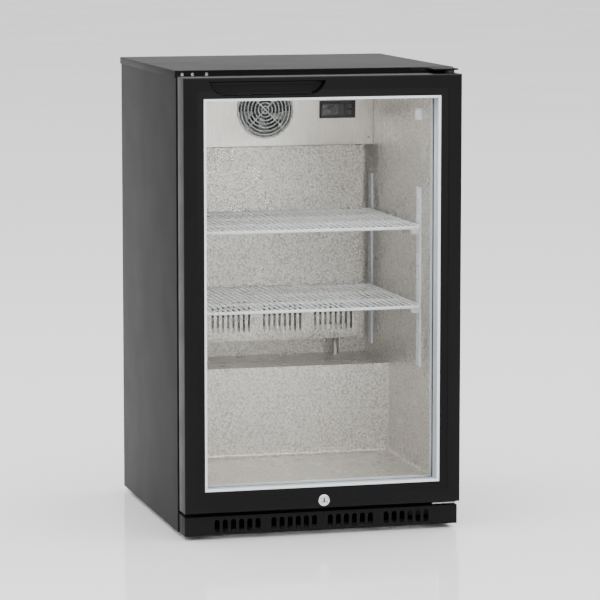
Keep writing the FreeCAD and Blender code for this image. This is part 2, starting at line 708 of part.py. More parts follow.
def make_liner():
    """Embossed sheet: two sides, ceiling, back, floor and the step over the machine room."""
    start = FRONT + d.throat_depth
    outline = [
        (start, FLOOR - d.skin), (STEP_FACE + d.skin, FLOOR - d.skin),
        (STEP_FACE + d.skin, d.step_height - d.skin), (INNER_BACK + d.skin, d.step_height - d.skin),
        (INNER_BACK + d.skin, CEILING + d.skin), (start, CEILING + d.skin),
    ]
    sides = []
    for side, x in (("left", -INNER - d.skin), ("right", INNER)):
        body = new_body(f"liner_{side}")
        profile = sketch_on(body, f"liner_{side}_profile", "YZ_Plane", x, [outline])
        pad(body, f"liner_{side}_pad", profile, d.skin)
        sides.append(body)
    subpart("liner_sides", group("liner_sides", sides))
    subpart("liner_ceiling", box("liner_ceiling", (-INNER, start, CEILING),
                                 (INNER, INNER_BACK, CEILING + d.skin)))
    subpart("liner_back", box("liner_back", (-INNER, INNER_BACK, d.step_height - d.skin),
                              (INNER, INNER_BACK + d.skin, CEILING + d.skin)))
    subpart("liner_floor", box("liner_floor", (-INNER, start, FLOOR - d.skin),
                               (INNER, STEP_FACE, FLOOR)))
    riser = box("step_riser", (-INNER, STEP_FACE, FLOOR - d.skin),
                (INNER, STEP_FACE + d.skin, d.step_height))
    lid = box("step_lid_sheet", (-INNER, STEP_FACE, d.step_height - d.skin),
              (INNER, INNER_BACK, d.step_height))
    subpart("liner_step", fuse("liner_step", [riser, lid]))


def make_throat_frame():
    """The plastic frame round the opening that the gasket closes on."""
    edge = HALF - d.front_return - d.fit_gap
    ring = box("throat_block", (-edge, FRONT, d.pan_height),
               (edge, FRONT + d.throat_depth, TOP_LOW - d.fit_gap))
    opening = box("throat_opening", (-INNER, FRONT - d.skin, FLOOR),
                  (INNER, FRONT + d.throat_depth + d.skin, CEILING))
    return subpart("throat_frame", cut("throat_frame", ring, [opening]))


def make_kick_grille():
    """A folded plate under the door: groups of upright slots and a slot for the lock's cam."""
    body = new_body("kick_grille")
    start, end = DOOR_FRONT + d.kick_setback, FRONT - d.plate_sheet - d.fit_gap
    edge, low = HALF - d.kick_side_gap, d.foot_height
    high = low + d.kick_height
    outer = sketch_on(body, "kick_outline", "XZ_Plane", -start, [rectangle(-edge, low, edge, high)])
    pad(body, "kick_pad", outer, end - start, reverse=True)
    hollow = sketch_on(body, "kick_hollow_sketch", "XZ_Plane", -(start + d.skin),
                       [rectangle(d.skin - edge, low - d.skin, edge - d.skin, high - d.skin)])
    pocket(body, "kick_hollow", hollow, end - start)
    keeper_y = DOOR_BACK + d.lock_nut_depth + d.cam_sheet / 2
    keeper = sketch_on(body, "keeper_sketch", "XY_Plane", high + d.skin,
                       [rectangle(-d.keeper_side, keeper_y - d.keeper_length / 2,
                                  d.keeper_reach, keeper_y + d.keeper_length / 2)])
    pocket(body, "keeper", keeper, 3 * d.skin)
    group_width = d.kick_slot_pitch * (d.kick_group_slots - 1)
    first = -(d.kick_group_pitch * (d.kick_groups - 1) + group_width) / 2
    groups = [upright_slot(first + d.kick_group_pitch * number, low + d.kick_slot_low,
                           d.kick_slot_width, d.kick_slot_height)
              for number in range(int(d.kick_groups.number))]
    slots = sketch_on(body, "kick_slots_sketch", "XZ_Plane", -(start - d.skin), groups)
    first_slots = pocket(body, "kick_slots", slots, 3 * d.skin)
    pattern(body, "kick_pattern", [first_slots], slots, "H_Axis", group_width, d.kick_group_slots)
    return subpart("kick_grille", body)


# ---------------------------------------------------------------- hinges

def make_hinge_brackets():
    """Two bent plates on the cabinet, each with a pin that enters the door's bush."""
    plate_left = HALF - d.tab_side - d.plate_width
    tab_left, right = HALF - d.tab_side - d.tab_width, HALF - d.tab_side
    plate_front, tab_front = FRONT - d.plate_sheet, FRONT - d.tab_reach
    tab_under = DOOR_TOP + d.tab_air
    plate = box("top_plate", (plate_left, plate_front, TOP_LOW + d.skin),
                (right, FRONT, tab_under + d.tab_sheet))
    holes = [cylinder("top_plate_hole", (x, plate_front - d.skin, TOP - d.screw_drop), "y",
                      d.screw_hole, d.plate_sheet + 2 * d.skin)
             for x in SCREW_X]
    tab = box("top_tab", (tab_left, tab_front, tab_under), (right, FRONT, tab_under + d.tab_sheet))
    pin = cylinder("top_pin", (PIN_X, PIN_Y, DOOR_TOP - d.pin_reach), "z", d.pin_radius,
                   d.pin_reach + d.tab_air + d.tab_sheet / 2)
    bent = fuse("top_bent", [plate, tab, pin])
    subpart("top_hinge_bracket", cut("top_hinge_bracket", bent, holes))

    low_top = d.door_low - d.tab_air_low
    low_plate = box("low_plate", (plate_left, plate_front, low_top - d.plate_low),
                    (right - d.kick_side_gap, FRONT, low_top))
    low_tab = box("low_tab", (tab_left, tab_front, low_top - d.tab_sheet), (right, FRONT, low_top))
    low_pin = cylinder("low_pin", (PIN_X, PIN_Y, low_top - d.tab_sheet / 2), "z", d.pin_radius,
                       d.tab_sheet / 2 + d.tab_air_low + d.pin_reach)
    subpart("bottom_hinge_bracket", fuse("bottom_hinge_bracket", [low_plate, low_tab, low_pin]))


def make_hinge_screws():
    """Three screws through the top bracket into the worktop's front edge."""
    screws = []
    for index, x in enumerate(SCREW_X):
        y = FRONT - d.plate_sheet
        head = cylinder(f"screw_head_{index}", (x, y - d.screw_head_height, TOP - d.screw_drop),
                        "y", d.screw_head, d.screw_head_height)
        shank = cylinder(f"screw_shank_{index}", (x, y - d.skin, TOP - d.screw_drop),
                         "y", d.screw_radius, d.screw_length)
        screws.append(fuse(f"screw_{index}", [head, shank]))
    return subpart("hinge_screws", group("hinge_screws", screws))


# ---------------------------------------------------------------- door

def profile_outline():
    """Section of the door frame: first coordinate from the outer edge inwards, second from the
    front of the door backwards."""
    face, depth = d.face_width, d.door_depth
    deep = face - d.rebate
    glass_back = d.lip_depth + 2 * d.glass_sheet + d.glass_space
    return [
        (0, d.edge_round, d.edge_round), (d.edge_round, 0), (d.band_width, 0),
        (d.band_width, d.band_step), (face, d.bevel_drop), (face, d.lip_depth),
        (deep, d.lip_depth), (deep, glass_back), (face, glass_back), (face, depth), (0, depth),
    ]


def profile_void():
    """The hollow inside the section."""
    wall = d.rail_wall
    deep = d.face_width - d.rebate - wall
    glass_back = d.lip_depth + 2 * d.glass_sheet + d.glass_space + wall
    front = d.edge_round + wall
    return [
        (wall, front), (d.band_width - wall, front), (deep, d.lip_depth + wall), (deep, glass_back),
        (d.face_width - wall, glass_back), (d.face_width - wall, d.door_depth - wall),
        (wall, d.door_depth - wall),
    ]


def rail_body(name, length, hollow):
    """A length of the frame section along local Z with both ends mitred."""
    body = new_body(name)
    outlines = [profile_outline(), profile_void()] if hollow else [profile_outline()]
    section = sketch_on(body, f"{name}_section", "XY_Plane", 0, outlines)
    pad(body, f"{name}_pad", section, length)
    reach = 2 * d.face_width
    low = [(-reach, -reach), (reach, -reach), (reach, reach)]
    high = [(-reach, length + reach), (reach, length - reach), (reach, length + reach)]
    mitres = sketch_on(body, f"{name}_mitres", "XZ_Plane", d.face_width, [low, high])
    body.Tip = pocket(body, f"{name}_mitre_cut", mitres, d.door_depth + 2 * d.face_width)
    return body


SIDE_TURN = {
    "left": Rotation(),
    "right": Rotation(Vector(0, 1, 0), 180),
    "top": Rotation(Vector(0, 1, 0), 90),
    "bottom": Rotation(Vector(0, 1, 0), -90),
}


def rail_corner(side):
    """Where the local origin of the rail on that side lies."""
    return {
        "left": (-HALF, DOOR_FRONT, d.door_low),
        "right": (HALF, DOOR_FRONT, DOOR_TOP),
        "top": (-HALF, DOOR_FRONT, DOOR_TOP),
        "bottom": (HALF, DOOR_FRONT, d.door_low),
    }[side]


def scoop_outline(grow):
    """The finger scoop's outline: long top edge, ends that curve in to a shorter lower edge."""
    top, low = DOOR_TOP - d.scoop_drop + grow, DOOR_TOP - d.scoop_drop - d.scoop_height - grow
    half, short = d.scoop_half + grow, d.scoop_half - d.scoop_shrink + grow
    middle = d.scoop_side + d.scoop_half - HALF
    return [
        (middle - half, top, d.scoop_round), (middle - short, low),
        (middle + short, low, d.scoop_round), (middle + half, top),
    ]


def prism(name, outline, y, depth):
    """An outline in the XZ plane carried backwards from y."""
    body = new_body(name)
    pad(body, f"{name}_pad", sketch_on(body, f"{name}_outline", "XZ_Plane", -as_size(y), [outline]),
        depth, reverse=True)
    return body


def bush_tools(name, z):
    """The round hole that a hinge bush needs, through the frame from z upwards."""
    return cylinder(name, (PIN_X, PIN_Y, z), "z", d.bush_radius, d.bush_length + d.skin)


def make_door_frame():
    upright = rail_body("stile_left", DOOR_HEIGHT, True)
    subpart("left_stile", place(upright, rail_corner("left"), SIDE_TURN["left"]))
    upright = rail_body("stile_right", DOOR_HEIGHT, True)
    place(upright, rail_corner("right"), SIDE_TURN["right"])
    pin_holes = [bush_tools("stile_bush_low", d.door_low),
                 bush_tools("stile_bush_high", DOOR_TOP - d.bush_length - d.skin)]
    subpart("right_stile", cut("right_stile", upright, pin_holes))

    upper = rail_body("rail_top", d.cab_width, True)
    place(upper, rail_corner("top"), SIDE_TURN["top"])
    scoop = prism("scoop_space", scoop_outline(0), DOOR_FRONT - d.skin, d.scoop_depth + d.skin)
    hole = bush_tools("rail_bush_high", DOOR_TOP - d.bush_length)
    subpart("top_rail", cut("top_rail", upper, [scoop, hole]))

    lower = rail_body("rail_bottom", d.cab_width, True)
    place(lower, rail_corner("bottom"), SIDE_TURN["bottom"])
    lock_bore = cylinder("lock_bore", (0, DOOR_FRONT - d.skin, d.door_low + d.lock_height), "y",
                         d.lock_radius, d.door_depth + 2 * d.skin)
    hole = bush_tools("rail_bush_low", d.door_low - d.skin)
    subpart("bottom_rail", cut("bottom_rail", lower, [lock_bore, hole]))


def make_handle_cup():
    """The cup that closes the scoop: it keeps the face of the top rail and is open to the front."""
    face = rail_body("cup_face", d.cab_width, False)
    place(face, rail_corner("top"), SIDE_TURN["top"])
    block = prism("cup_block", scoop_outline(0), DOOR_FRONT - d.skin, d.scoop_depth + d.skin)
    hollow = prism("cup_hollow", scoop_outline(-d.scoop_wall), DOOR_FRONT - 2 * d.skin,
                   d.scoop_depth + 2 * d.skin - d.scoop_wall)
    common = doc.addObject("Part::Common", "cup_common")
    common.Base = block
    common.Tool = face
    return subpart("handle_cup", cut("handle_cup", common, [hollow]))


def ring(name, inset_out, inset_in, y_low, y_high):
    """A rectangular frame inside the door; insets are from the door's outer edges."""
    outer = box(f"{name}_outer", (inset_out - HALF, y_low, d.door_low + inset_out),
                (HALF - inset_out, y_high, DOOR_TOP - inset_out))
    inner = box(f"{name}_inner", (inset_in - HALF, y_low - d.skin, d.door_low + inset_in),
                (HALF - inset_in, y_high + d.skin, DOOR_TOP - inset_in))
    return cut(name, outer, [inner])


def make_glazing():
    """Two panes with a spacer bar, and the white bead that frames the view."""
    edge = d.face_width - d.rebate + d.rebate_gap
    face = DOOR_FRONT + d.lip_depth
    for node, y in (("outer_glass", face), ("inner_glass", face + d.glass_sheet + d.glass_space)):
        subpart(node, box(node, (edge - HALF, y, d.door_low + edge),
                          (HALF - edge, y + d.glass_sheet, DOOR_TOP - edge)))
    spacer_out = d.face_width + d.bead_width - d.spacer_width
    subpart("glass_spacer", ring("glass_spacer", spacer_out, d.face_width + d.bead_width,
                                 face + d.glass_sheet, face + d.glass_sheet + d.glass_space))
    subpart("glass_bead", ring("glass_bead", d.face_width, d.face_width + d.bead_width,
                               face - d.bead_depth, face))


def make_gasket():
    """The magnetic gasket: a hollow strip on the back of the door."""
    start, end = d.face_width - d.gasket_width, d.face_width
    tube = ring("gasket_outer", start, end, DOOR_BACK, FRONT - d.gasket_air)
    hollow = ring("gasket_hollow", start + d.gasket_wall, end - d.gasket_wall,
                  DOOR_BACK + d.gasket_wall, FRONT - d.gasket_air - d.gasket_wall)
    return subpart("door_gasket", cut("door_gasket", tube, [hollow]))


def make_hinge_bushes():
    """A flanged bush at each end of the door's hinge side."""
    bushes = []
    air = d.fit_gap
    for name, z, flange_z, flange in (
            ("high", DOOR_TOP - d.bush_length, DOOR_TOP, d.tab_air - air),
            ("low", d.door_low, d.door_low - d.tab_air_low + air, d.tab_air_low - air)):
        sleeve = cylinder(f"bush_{name}_sleeve", (PIN_X, PIN_Y, z), "z", d.bush_radius,
                          d.bush_length)
        collar = cylinder(f"bush_{name}_collar", (PIN_X, PIN_Y, flange_z), "z", d.bush_flange,
                          flange)
        bore_start = DOOR_TOP - d.pin_reach - d.skin if name == "high" else flange_z - d.skin
        bore = cylinder(f"bush_{name}_bore", (PIN_X, PIN_Y, bore_start), "z",
                        d.pin_radius + d.running_gap, d.pin_reach + d.tab_air + 2 * d.skin)
        bushes.append(cut(f"bush_{name}", fuse(f"bush_{name}_blank", [sleeve, collar]), [bore]))
    return subpart("hinge_bushes", group("hinge_bushes", bushes))


def make_lock():
    """A cam lock: fixed barrel with its nut, and a plug that carries the cam."""
    z = d.door_low + d.lock_height
    rim = cylinder("lock_rim_ring", (0, DOOR_FRONT - d.lock_rim_depth, z), "y", d.lock_rim,
                   d.lock_rim_depth)
    barrel = cylinder("lock_barrel", (0, DOOR_FRONT - d.lock_rim_depth, z), "y", d.lock_radius,
                      d.door_depth + d.lock_rim_depth + d.lock_nut_depth - d.running_gap)
    bore = cylinder("lock_plug_bore", (0, DOOR_FRONT - 2 * d.lock_rim_depth, z), "y",
                    d.plug_radius + d.running_gap, d.door_depth + 8 * d.lock_rim_depth)
    nut = cylinder("lock_nut", (0, DOOR_BACK, z), "y", d.lock_nut_radius,
                   d.lock_nut_depth - d.running_gap)
    blank = fuse("lock_body_blank", [rim, barrel, nut])
    subpart("lock_body", cut("lock_body", blank, [bore]))

    cam_y = DOOR_BACK + d.lock_nut_depth
    plug = cylinder("plug_barrel", (0, DOOR_FRONT - d.lock_rim_depth, z), "y", d.plug_radius,
                    cam_y + d.cam_sheet - DOOR_FRONT + d.lock_rim_depth)
    cam = box("cam_plate", (-d.cam_width / 2, cam_y, z - d.cam_width / 2),
              (d.cam_length, cam_y + d.cam_sheet, z + d.cam_width / 2))
    keyway = box("keyway", (-d.skin / 2, DOOR_FRONT - 2 * d.lock_rim_depth, z - d.plug_radius / 2),
                 (d.skin / 2, DOOR_FRONT + 2 * d.lock_rim_depth, z + d.plug_radius / 2))
    subpart("lock_plug", cut("lock_plug", fuse("plug_blank", [plug, cam]), [keyway]))


# ---------------------------------------------------------------- cold side

def make_evaporator_cover():
    """The lower rear cover with air slots near its bottom, open at the top and back."""
    body = new_body("evaporator_cover")
    high = SEAM - d.skin
    outer = sketch_on(body, "cover_outline", "XZ_Plane", -COVER,
                      [rectangle(-COVER_HALF, d.cover_low, COVER_HALF, high)])
    pad(body, "cover_pad", outer, INNER_BACK - COVER, reverse=True)
    hollow = sketch_on(body, "cover_hollow_sketch", "XZ_Plane", -(COVER + d.skin),
                       [rectangle(d.skin - COVER_HALF, d.cover_low + d.skin,
                                  COVER_HALF - d.skin, high + d.skin)])
    pocket(body, "cover_hollow", hollow, INNER_BACK - COVER)
    groups = [upright_slot(COVER_HALF - d.cover_group_side + d.cover_group_pitch * number,
                           d.cover_low + d.cover_slot_low, d.cover_slot_width, d.cover_slot_height)
              for number in range(int(d.cover_groups.number))]
    slots = sketch_on(body, "cover_slots_sketch", "XZ_Plane", -(COVER - d.skin), groups)
    first = pocket(body, "cover_slots", slots, 3 * d.skin)
    pattern(body, "cover_pattern", [first], slots, "H_Axis",
            d.cover_slot_pitch * (d.cover_group_slots - 1), d.cover_group_slots)
    drain = sketch_on(body, "cover_drain_sketch", "XY_Plane", d.cover_low + 2 * d.skin,
                      circles=[(DRAIN_X, DRAIN_Y, d.drain_radius + d.fit_gap)])
    body.Tip = pocket(body, "cover_drain", drain, 4 * d.skin)
    return subpart("evaporator_cover", body)


def make_fan_panel():
    """The upper rear panel with the fan's opening and the controller's cut-out."""
    body = new_body("fan_panel")
    edge = INNER - d.fit_gap
    half_width, half_tall = d.control_width / 2 - d.control_rim, d.control_tall / 2 - d.control_rim
    outer = rectangle(-edge, SEAM, edge, CEILING - d.fit_gap)
    x, z = INNER - d.control_inset, TOP - d.control_drop
    cut_out = rectangle(x - half_width, z - half_tall, x + half_width, z + half_tall)
    profile = sketch_on(body, "fan_panel_outline", "XZ_Plane", -COVER, [outer, cut_out],
                        [(d.fan_side, FAN_Z, d.fan_opening)])
    pad(body, "fan_panel_pad", profile, d.skin, reverse=True)
    return subpart("fan_panel", body)


def make_fan_guard():
    """Concentric wire rings on two crossed bars, in front of the fan's opening."""
    parts = []
    y = COVER - d.guard_wire
    count = int(d.guard_rings.number)
    for index in range(count):
        torus = doc.addObject("Part::Torus", f"guard_ring_{index}")
        bind(torus, "Radius1", d.guard_radius * (index + 1) / count)
        bind(torus, "Radius2", d.guard_wire)
        parts.append(place(torus, (d.fan_side, y, FAN_Z), AXIS_TURN["y"]))
    for index, angle in enumerate((45, 135)):
        bar = doc.addObject("Part::Cylinder", f"guard_bar_{index}")
        bind(bar, "Radius", d.guard_wire)
        bind(bar, "Height", 2 * d.guard_radius)
        lean = Rotation(Vector(0, 1, 0), angle)
        run = lean.multVec(Vector(0, 0, 1))
        parts.append(place(bar, (d.fan_side - run.x * d.guard_radius, y,
                                 FAN_Z - run.z * d.guard_radius), lean))
    return subpart("fan_guard", fuse("fan_guard", parts))


def make_fan(node, x, y, z, hub, tip, depth):
    """A hub with pitched blades, turning about Y; the hub's back is bored for the motor shaft."""
    parts = [cylinder(f"{node}_hub", (0, 0, 0), "z", hub, depth)]
    sheet_width = depth * d.blade_share
    for index in range(int(d.fan_blades.number)):
        blade = doc.addObject("Part::Box", f"{node}_blade_{index}")
        bind(blade, "Length", tip - hub / 2)
        bind(blade, "Width", d.blade_sheet)
        bind(blade, "Height", sheet_width)
        round_axis = Rotation(Vector(0, 0, 1), 360 * index / d.fan_blades.number)
        pitch = Rotation(Vector(1, 0, 0), -d.blade_angle.number)
        turn = round_axis.multiply(pitch)
        out = round_axis.multVec(Vector(1, 0, 0))
        down = turn.multVec(Vector(0, -0.5, -0.5))
        parts.append(place(blade, (out.x * hub / 2 + down.x * sheet_width,
                                   out.y * hub / 2 + down.y * sheet_width,
                                   depth / 2 + down.z * sheet_width), turn))
    slab = cylinder(f"{node}_slab", (0, 0, 0), "z", tip, depth)
    common = doc.addObject("Part::Common", f"{node}_trim")
    common.Base = fuse(f"{node}_blank", parts)
    common.Tool = slab
    bore = cylinder(f"{node}_bore", (0, 0, d.hub_front), "z", d.shaft_radius + d.running_gap, depth)
    fan = cut(node, common, [bore])
    return subpart(node, place(fan, (x, y, z), AXIS_TURN["y"]))


def make_evaporator_fan():
    """Motor on a cross bar behind the opening, with its shaft in the fan's hub."""
    fan_y = COVER + 2 * d.skin + d.fit_gap
    motor_y = fan_y + d.fan_thick + 2 * d.skin
    motor = cylinder("fan_motor_can", (d.fan_side, motor_y, FAN_Z), "y", d.motor_radius,
                     d.motor_depth)
    shaft = cylinder("fan_motor_shaft", (d.fan_side, motor_y - d.fan_thick, FAN_Z), "y",
                     d.shaft_radius, d.fan_thick + d.skin)
    parts = [motor, shaft]
    inner_x, outer_x = d.motor_radius - d.skin, d.fan_opening + d.bracket_air
    arm_y = motor_y + d.motor_depth / 2
    arm_back = arm_y + d.bracket_sheet
    low_z, high_z = FAN_Z - d.bracket_tall / 2, FAN_Z + d.bracket_tall / 2
    for side in (-1, 1):
        low_x, high_x = (inner_x, outer_x) if side > 0 else (-outer_x, -inner_x)
        parts.append(box(f"motor_arm_{side}", (d.fan_side + low_x, arm_y, low_z),
                         (d.fan_side + high_x, arm_back, high_z)))
        leg_x = d.fan_side + (high_x - d.bracket_sheet if side > 0 else low_x)
        parts.append(box(f"motor_leg_{side}", (leg_x, COVER + d.skin, low_z),
                         (leg_x + d.bracket_sheet, arm_back, high_z)))
    subpart("evaporator_fan_motor", fuse("evaporator_fan_motor", parts))
    make_fan("evaporator_fan_blade", d.fan_side, fan_y, FAN_Z, d.fan_hub, d.fan_tip,
             d.fan_thick)


def make_finned_coil(node, x_low, x_high, y_low, depth, z_low, z_high, rows):
    """Upright fins on level tube runs that are joined by return bends outside the fins."""
    parts = []
    pitch = (z_high - z_low) / rows
    count = int((x_high.number - x_low.number) / d.fin_pitch.number)
    start = (x_low + x_high) / 2 - d.fin_pitch * count / 2
    for index in range(count + 1):
        x = start + d.fin_pitch * index
        parts.append(box(f"{node}_fin_{index}", (x - d.fin_sheet / 2, y_low, z_low),
                         (x + d.fin_sheet / 2, y_low + depth, z_high)))
    past = d.fin_pitch / 2
    for row in range(rows):
        z = z_low + pitch * (row + 0.5)
        parts.append(cylinder(f"{node}_tube_{row}", (x_low - past, y_low + depth / 2, z), "x",
                              d.coil_tube, x_high - x_low + 2 * past))
        if row == rows - 1:
            continue
        end_x = x_high + past if row % 2 == 0 else x_low - past
        bend = doc.addObject("Part::Torus", f"{node}_bend_{row}")
        bind(bend, "Radius1", pitch / 2)
        bind(bend, "Radius2", d.coil_tube)
        bind(bend, "Angle3", 180)
        turn = Rotation(Vector(1, 0, 0), 90)
        if row % 2 == 0:
            turn = turn.multiply(Rotation(Vector(0, 0, 1), -90))
        else:
            turn = turn.multiply(Rotation(Vector(0, 0, 1), 90))
        parts.append(place(bend, (end_x, y_low + depth / 2, z + pitch / 2), turn))
    return subpart(node, fuse(node, parts))


def make_drip_tray():
    """The tray under the coil, with the drain tube that leads the water to the machine room."""
    back = INNER_BACK - d.fit_gap
    low = d.cover_low + d.skin + d.fit_gap
    edge = COVER_HALF - 2 * d.skin
    pan = tray("drip_pan", (-edge, COVER + 4 * d.skin, low), (edge, back, low + d.tray_height),
               d.skin, "+z")
    end = d.step_height + d.fit_gap
    spout = cylinder("drain_spout", (DRAIN_X, DRAIN_Y, end), "z", d.drain_radius,
                     low + d.skin - end)
    bore = cylinder("drain_bore", (DRAIN_X, DRAIN_Y, end - d.skin), "z",
                    d.drain_radius - d.skin, low + 3 * d.skin - end)
    subpart("drip_tray", cut("drip_tray", fuse("drip_blank", [pan, spout]), [bore]))


def make_controller():
    """A panel controller: bezel and case in one moulding, with two sprung buttons."""
    half_width, half_tall = d.control_width / 2, d.control_tall / 2
    x, z = INNER - d.control_inset, TOP - d.control_drop
    bezel = box("control_bezel", (x - half_width, COVER - d.control_proud, z - half_tall),
                (x + half_width, COVER, z + half_tall))
    inset = d.control_rim + d.fit_gap
    case = box("control_case", (x - half_width + inset, COVER - d.skin, z - half_tall + inset),
               (x + half_width - inset, COVER + d.control_body, z + half_tall - inset))
    recess_y = COVER - d.control_proud - d.button_proud + d.button_thick + d.button_travel
    recesses, buttons = [], []
    for node, offset in (("set_button", -1), ("mode_button", 1)):
        cx = x + half_width - d.button_width - d.button_inset
        cz = z + offset * d.button_tall
        low_x, high_x = cx - d.button_width / 2, cx + d.button_width / 2
        low_z, high_z = cz - d.button_tall / 2, cz + d.button_tall / 2
        gap = d.fit_gap
        recesses.append(box(f"{node}_recess",
                            (low_x - gap, COVER - d.control_proud - d.skin, low_z - gap),
                            (high_x + gap, recess_y + gap, high_z + gap)))
        front = COVER - d.control_proud - d.button_proud
        buttons.append((node, box(node, (low_x, front, low_z),
                                  (high_x, front + d.button_thick, high_z))))
    subpart("controller", cut("controller", fuse("control_blank", [bezel, case]), recesses))
    for node, button in buttons:
        subpart(node, button)


def pilaster_fronts():
    return [FRONT + d.pilaster_front, INNER_BACK - d.pilaster_rear]


def pilaster_strips():
    """Four slotted strips on the side walls."""
    strips = []
    count = int((PILASTER_HIGH.number - PILASTER_LOW.number) / d.notch_pitch.number)
    for side in (-1, 1):
        for index, y in enumerate(pilaster_fronts()):
            inner, outer = side * (INNER - d.pilaster_depth), side * INNER
            low_x, high_x = (inner, outer) if side > 0 else (outer, inner)
            strip = box(f"strip_{side}_{index}", (low_x, y, PILASTER_LOW),
                        (high_x, y + d.pilaster_width, PILASTER_HIGH))
            middle = y + d.pilaster_width / 2
            notches = []
            for notch in range(count):
                z = PILASTER_LOW + d.notch_pitch * (notch + 0.5)
                notches.append(box(f"notch_{side}_{index}_{notch}",
                                   (low_x - d.skin, middle - d.notch_width / 2, z),
                                   (high_x + d.skin, middle + d.notch_width / 2, z + d.notch_tall)))
            strips.append(cut(f"pilaster_{side}_{index}", strip, notches))
    return strips


def shelf_clips():
    """A clip under each corner of each shelf, hooked on its pilaster."""
    clips = []
    for level, surface in (("upper", UPPER_SHELF), ("lower", LOWER_SHELF)):
        under = surface - 2 * d.wire_radius - 2 * d.rod_radius + d.rod_bite
        for side in (-1, 1):
            for index, y in enumerate(pilaster_fronts()):
                middle = y + d.pilaster_width / 2
                tip = side * (INNER - d.pilaster_depth - d.clip_reach)
                root = side * (INNER - d.pilaster_depth)
                low_x, high_x = (tip, root) if side > 0 else (root, tip)
                if index:
                    middle = COVER - d.shelf_air - d.clip_width
                    low_x, high_x = ((tip, side * INNER) if side > 0 else (side * INNER, tip))
                clips.append(box(f"clip_{level}_{side}_{index}",
                                 (low_x, middle - d.clip_width / 2, under - d.clip_tall),
                                 (high_x, middle + d.clip_width / 2, under)))
    return clips


def make_shelf(node, surface):
    """Fine wires from front to back, welded on cross rods, with a rod round the edge."""
    half = INNER - d.shelf_side_air
    start, end = FRONT + d.shelf_front, COVER - d.shelf_air
    wire_z = surface - d.wire_radius
    rod_z = wire_z - d.wire_radius - d.rod_radius + d.rod_bite
    parts = []
    count = int(2 * (half.number - d.rod_radius.number) / d.wire_pitch.number)
    first = -d.wire_pitch * count / 2
    for index in range(count + 1):
        parts.append(cylinder(f"{node}_wire_{index}", (first + d.wire_pitch * index, start, wire_z),
                              "y", d.wire_radius, end - start))
    rods = int(d.shelf_rods.number)
    for index in range(rods):
        y = start + d.rod_radius + (end - start - 2 * d.rod_radius) * index / (rods - 1)
        parts.append(cylinder(f"{node}_rod_{index}", (-half, y, rod_z), "x", d.rod_radius, 2 * half))
    return subpart(node, fuse(node, parts))


def make_lamp():
    """A strip lamp under the front of the ceiling."""
    y = FRONT + d.throat_depth + d.lamp_front
    shell = tray("lamp_shell", (-d.lamp_half, y, CEILING - d.lamp_tall),
                 (d.lamp_half, y + d.lamp_width, CEILING), d.skin, "-z")
    subpart("lamp_housing", shell)
    inset = d.skin + d.fit_gap
    lens_top = CEILING - d.lamp_tall + d.lens_tall / 2
    subpart("lamp_diffuser", box("lamp_diffuser",
                                 (inset - d.lamp_half, y + inset, lens_top - d.lens_tall),
                                 (d.lamp_half - inset, y + d.lamp_width - inset, lens_top)))


def make_light_switch():
    """A rocker switch on the right-hand wall."""
    y, z = FRONT + d.switch_front, TOP - d.switch_drop
    x = INNER - d.switch_depth
    rim = d.switch_rim
    block = box("switch_block", (x, y, z), (INNER, y + d.switch_width, z + d.switch_tall))
    well = box("switch_well", (x - d.skin, y + rim, z + rim),
               (INNER - d.skin, y + d.switch_width - rim, z + d.switch_tall - rim))
    subpart("switch_housing", cut("switch_housing", block, [well]))
    gap = d.fit_gap
    middle_x, middle_y = x + d.switch_depth / 4, y + d.switch_width / 2
    half_long = d.switch_width / 2 - rim - 2 * gap
    paddle = doc.addObject("Part::Box", "switch_rocker")
    bind(paddle, "Length", 2 * d.skin)
    bind(paddle, "Width", 2 * half_long)
    bind(paddle, "Height", d.switch_tall - 2 * rim - 2 * gap)
    lean = Rotation(Vector(0, 0, 1), d.rocker_angle.number)
    corner = lean.multVec(Vector(-d.skin.number, -half_long.number, 0))
    place(paddle, (middle_x + corner.x, middle_y + corner.y, z + rim + gap), lean)
    subpart("switch_rocker", paddle)


# ---------------------------------------------------------------- machine room

def make_compressor():
    """A welded shell with a domed lid on a foot plate with rubber grommets, and its relay box."""
    x, y = COMP_X, BACK - d.comp_rear
    radius = d.comp_radius
    dome = radius * d.comp_dome
    can = cylinder("comp_can", (x, y, d.comp_low), "z", radius, d.comp_high - d.comp_low - dome / 2)
    lid = doc.addObject("Part::Ellipsoid", "comp_lid")
    bind(lid, "Radius1", dome / 2)
    bind(lid, "Radius2", radius)
    bind(lid, "Radius3", radius)
    place(lid, (x, y, d.comp_high - dome / 2))
    plate_low = d.comp_low - d.comp_foot
    plate_x, plate_y = radius + d.plate_over, radius - d.plate_short
    plate = box("comp_plate", (x - plate_x, y - plate_y, plate_low),
                (x + plate_x, y + plate_y, d.comp_low + d.skin))
    parts = [can, lid, plate]
    floor_z = d.foot_height + d.base_sheet
    for side_x in (-1, 1):
        for side_y in (-1, 1):
            spot = (x + side_x * (radius - d.grommet_side),
                    y + side_y * (radius - d.grommet_front), floor_z)
            parts.append(cylinder("comp_grommet", spot, "z", d.grommet_radius,
                                  plate_low + d.skin - floor_z))
    relay_x, relay_z = x + radius - d.relay_bite, d.comp_low + d.relay_low
    parts.append(box("comp_relay", (relay_x, y - d.relay_width / 2, relay_z),
                     (relay_x + d.relay_reach, y + d.relay_width / 2, relay_z + d.relay_tall)))
    return subpart("compressor", fuse("compressor", parts))


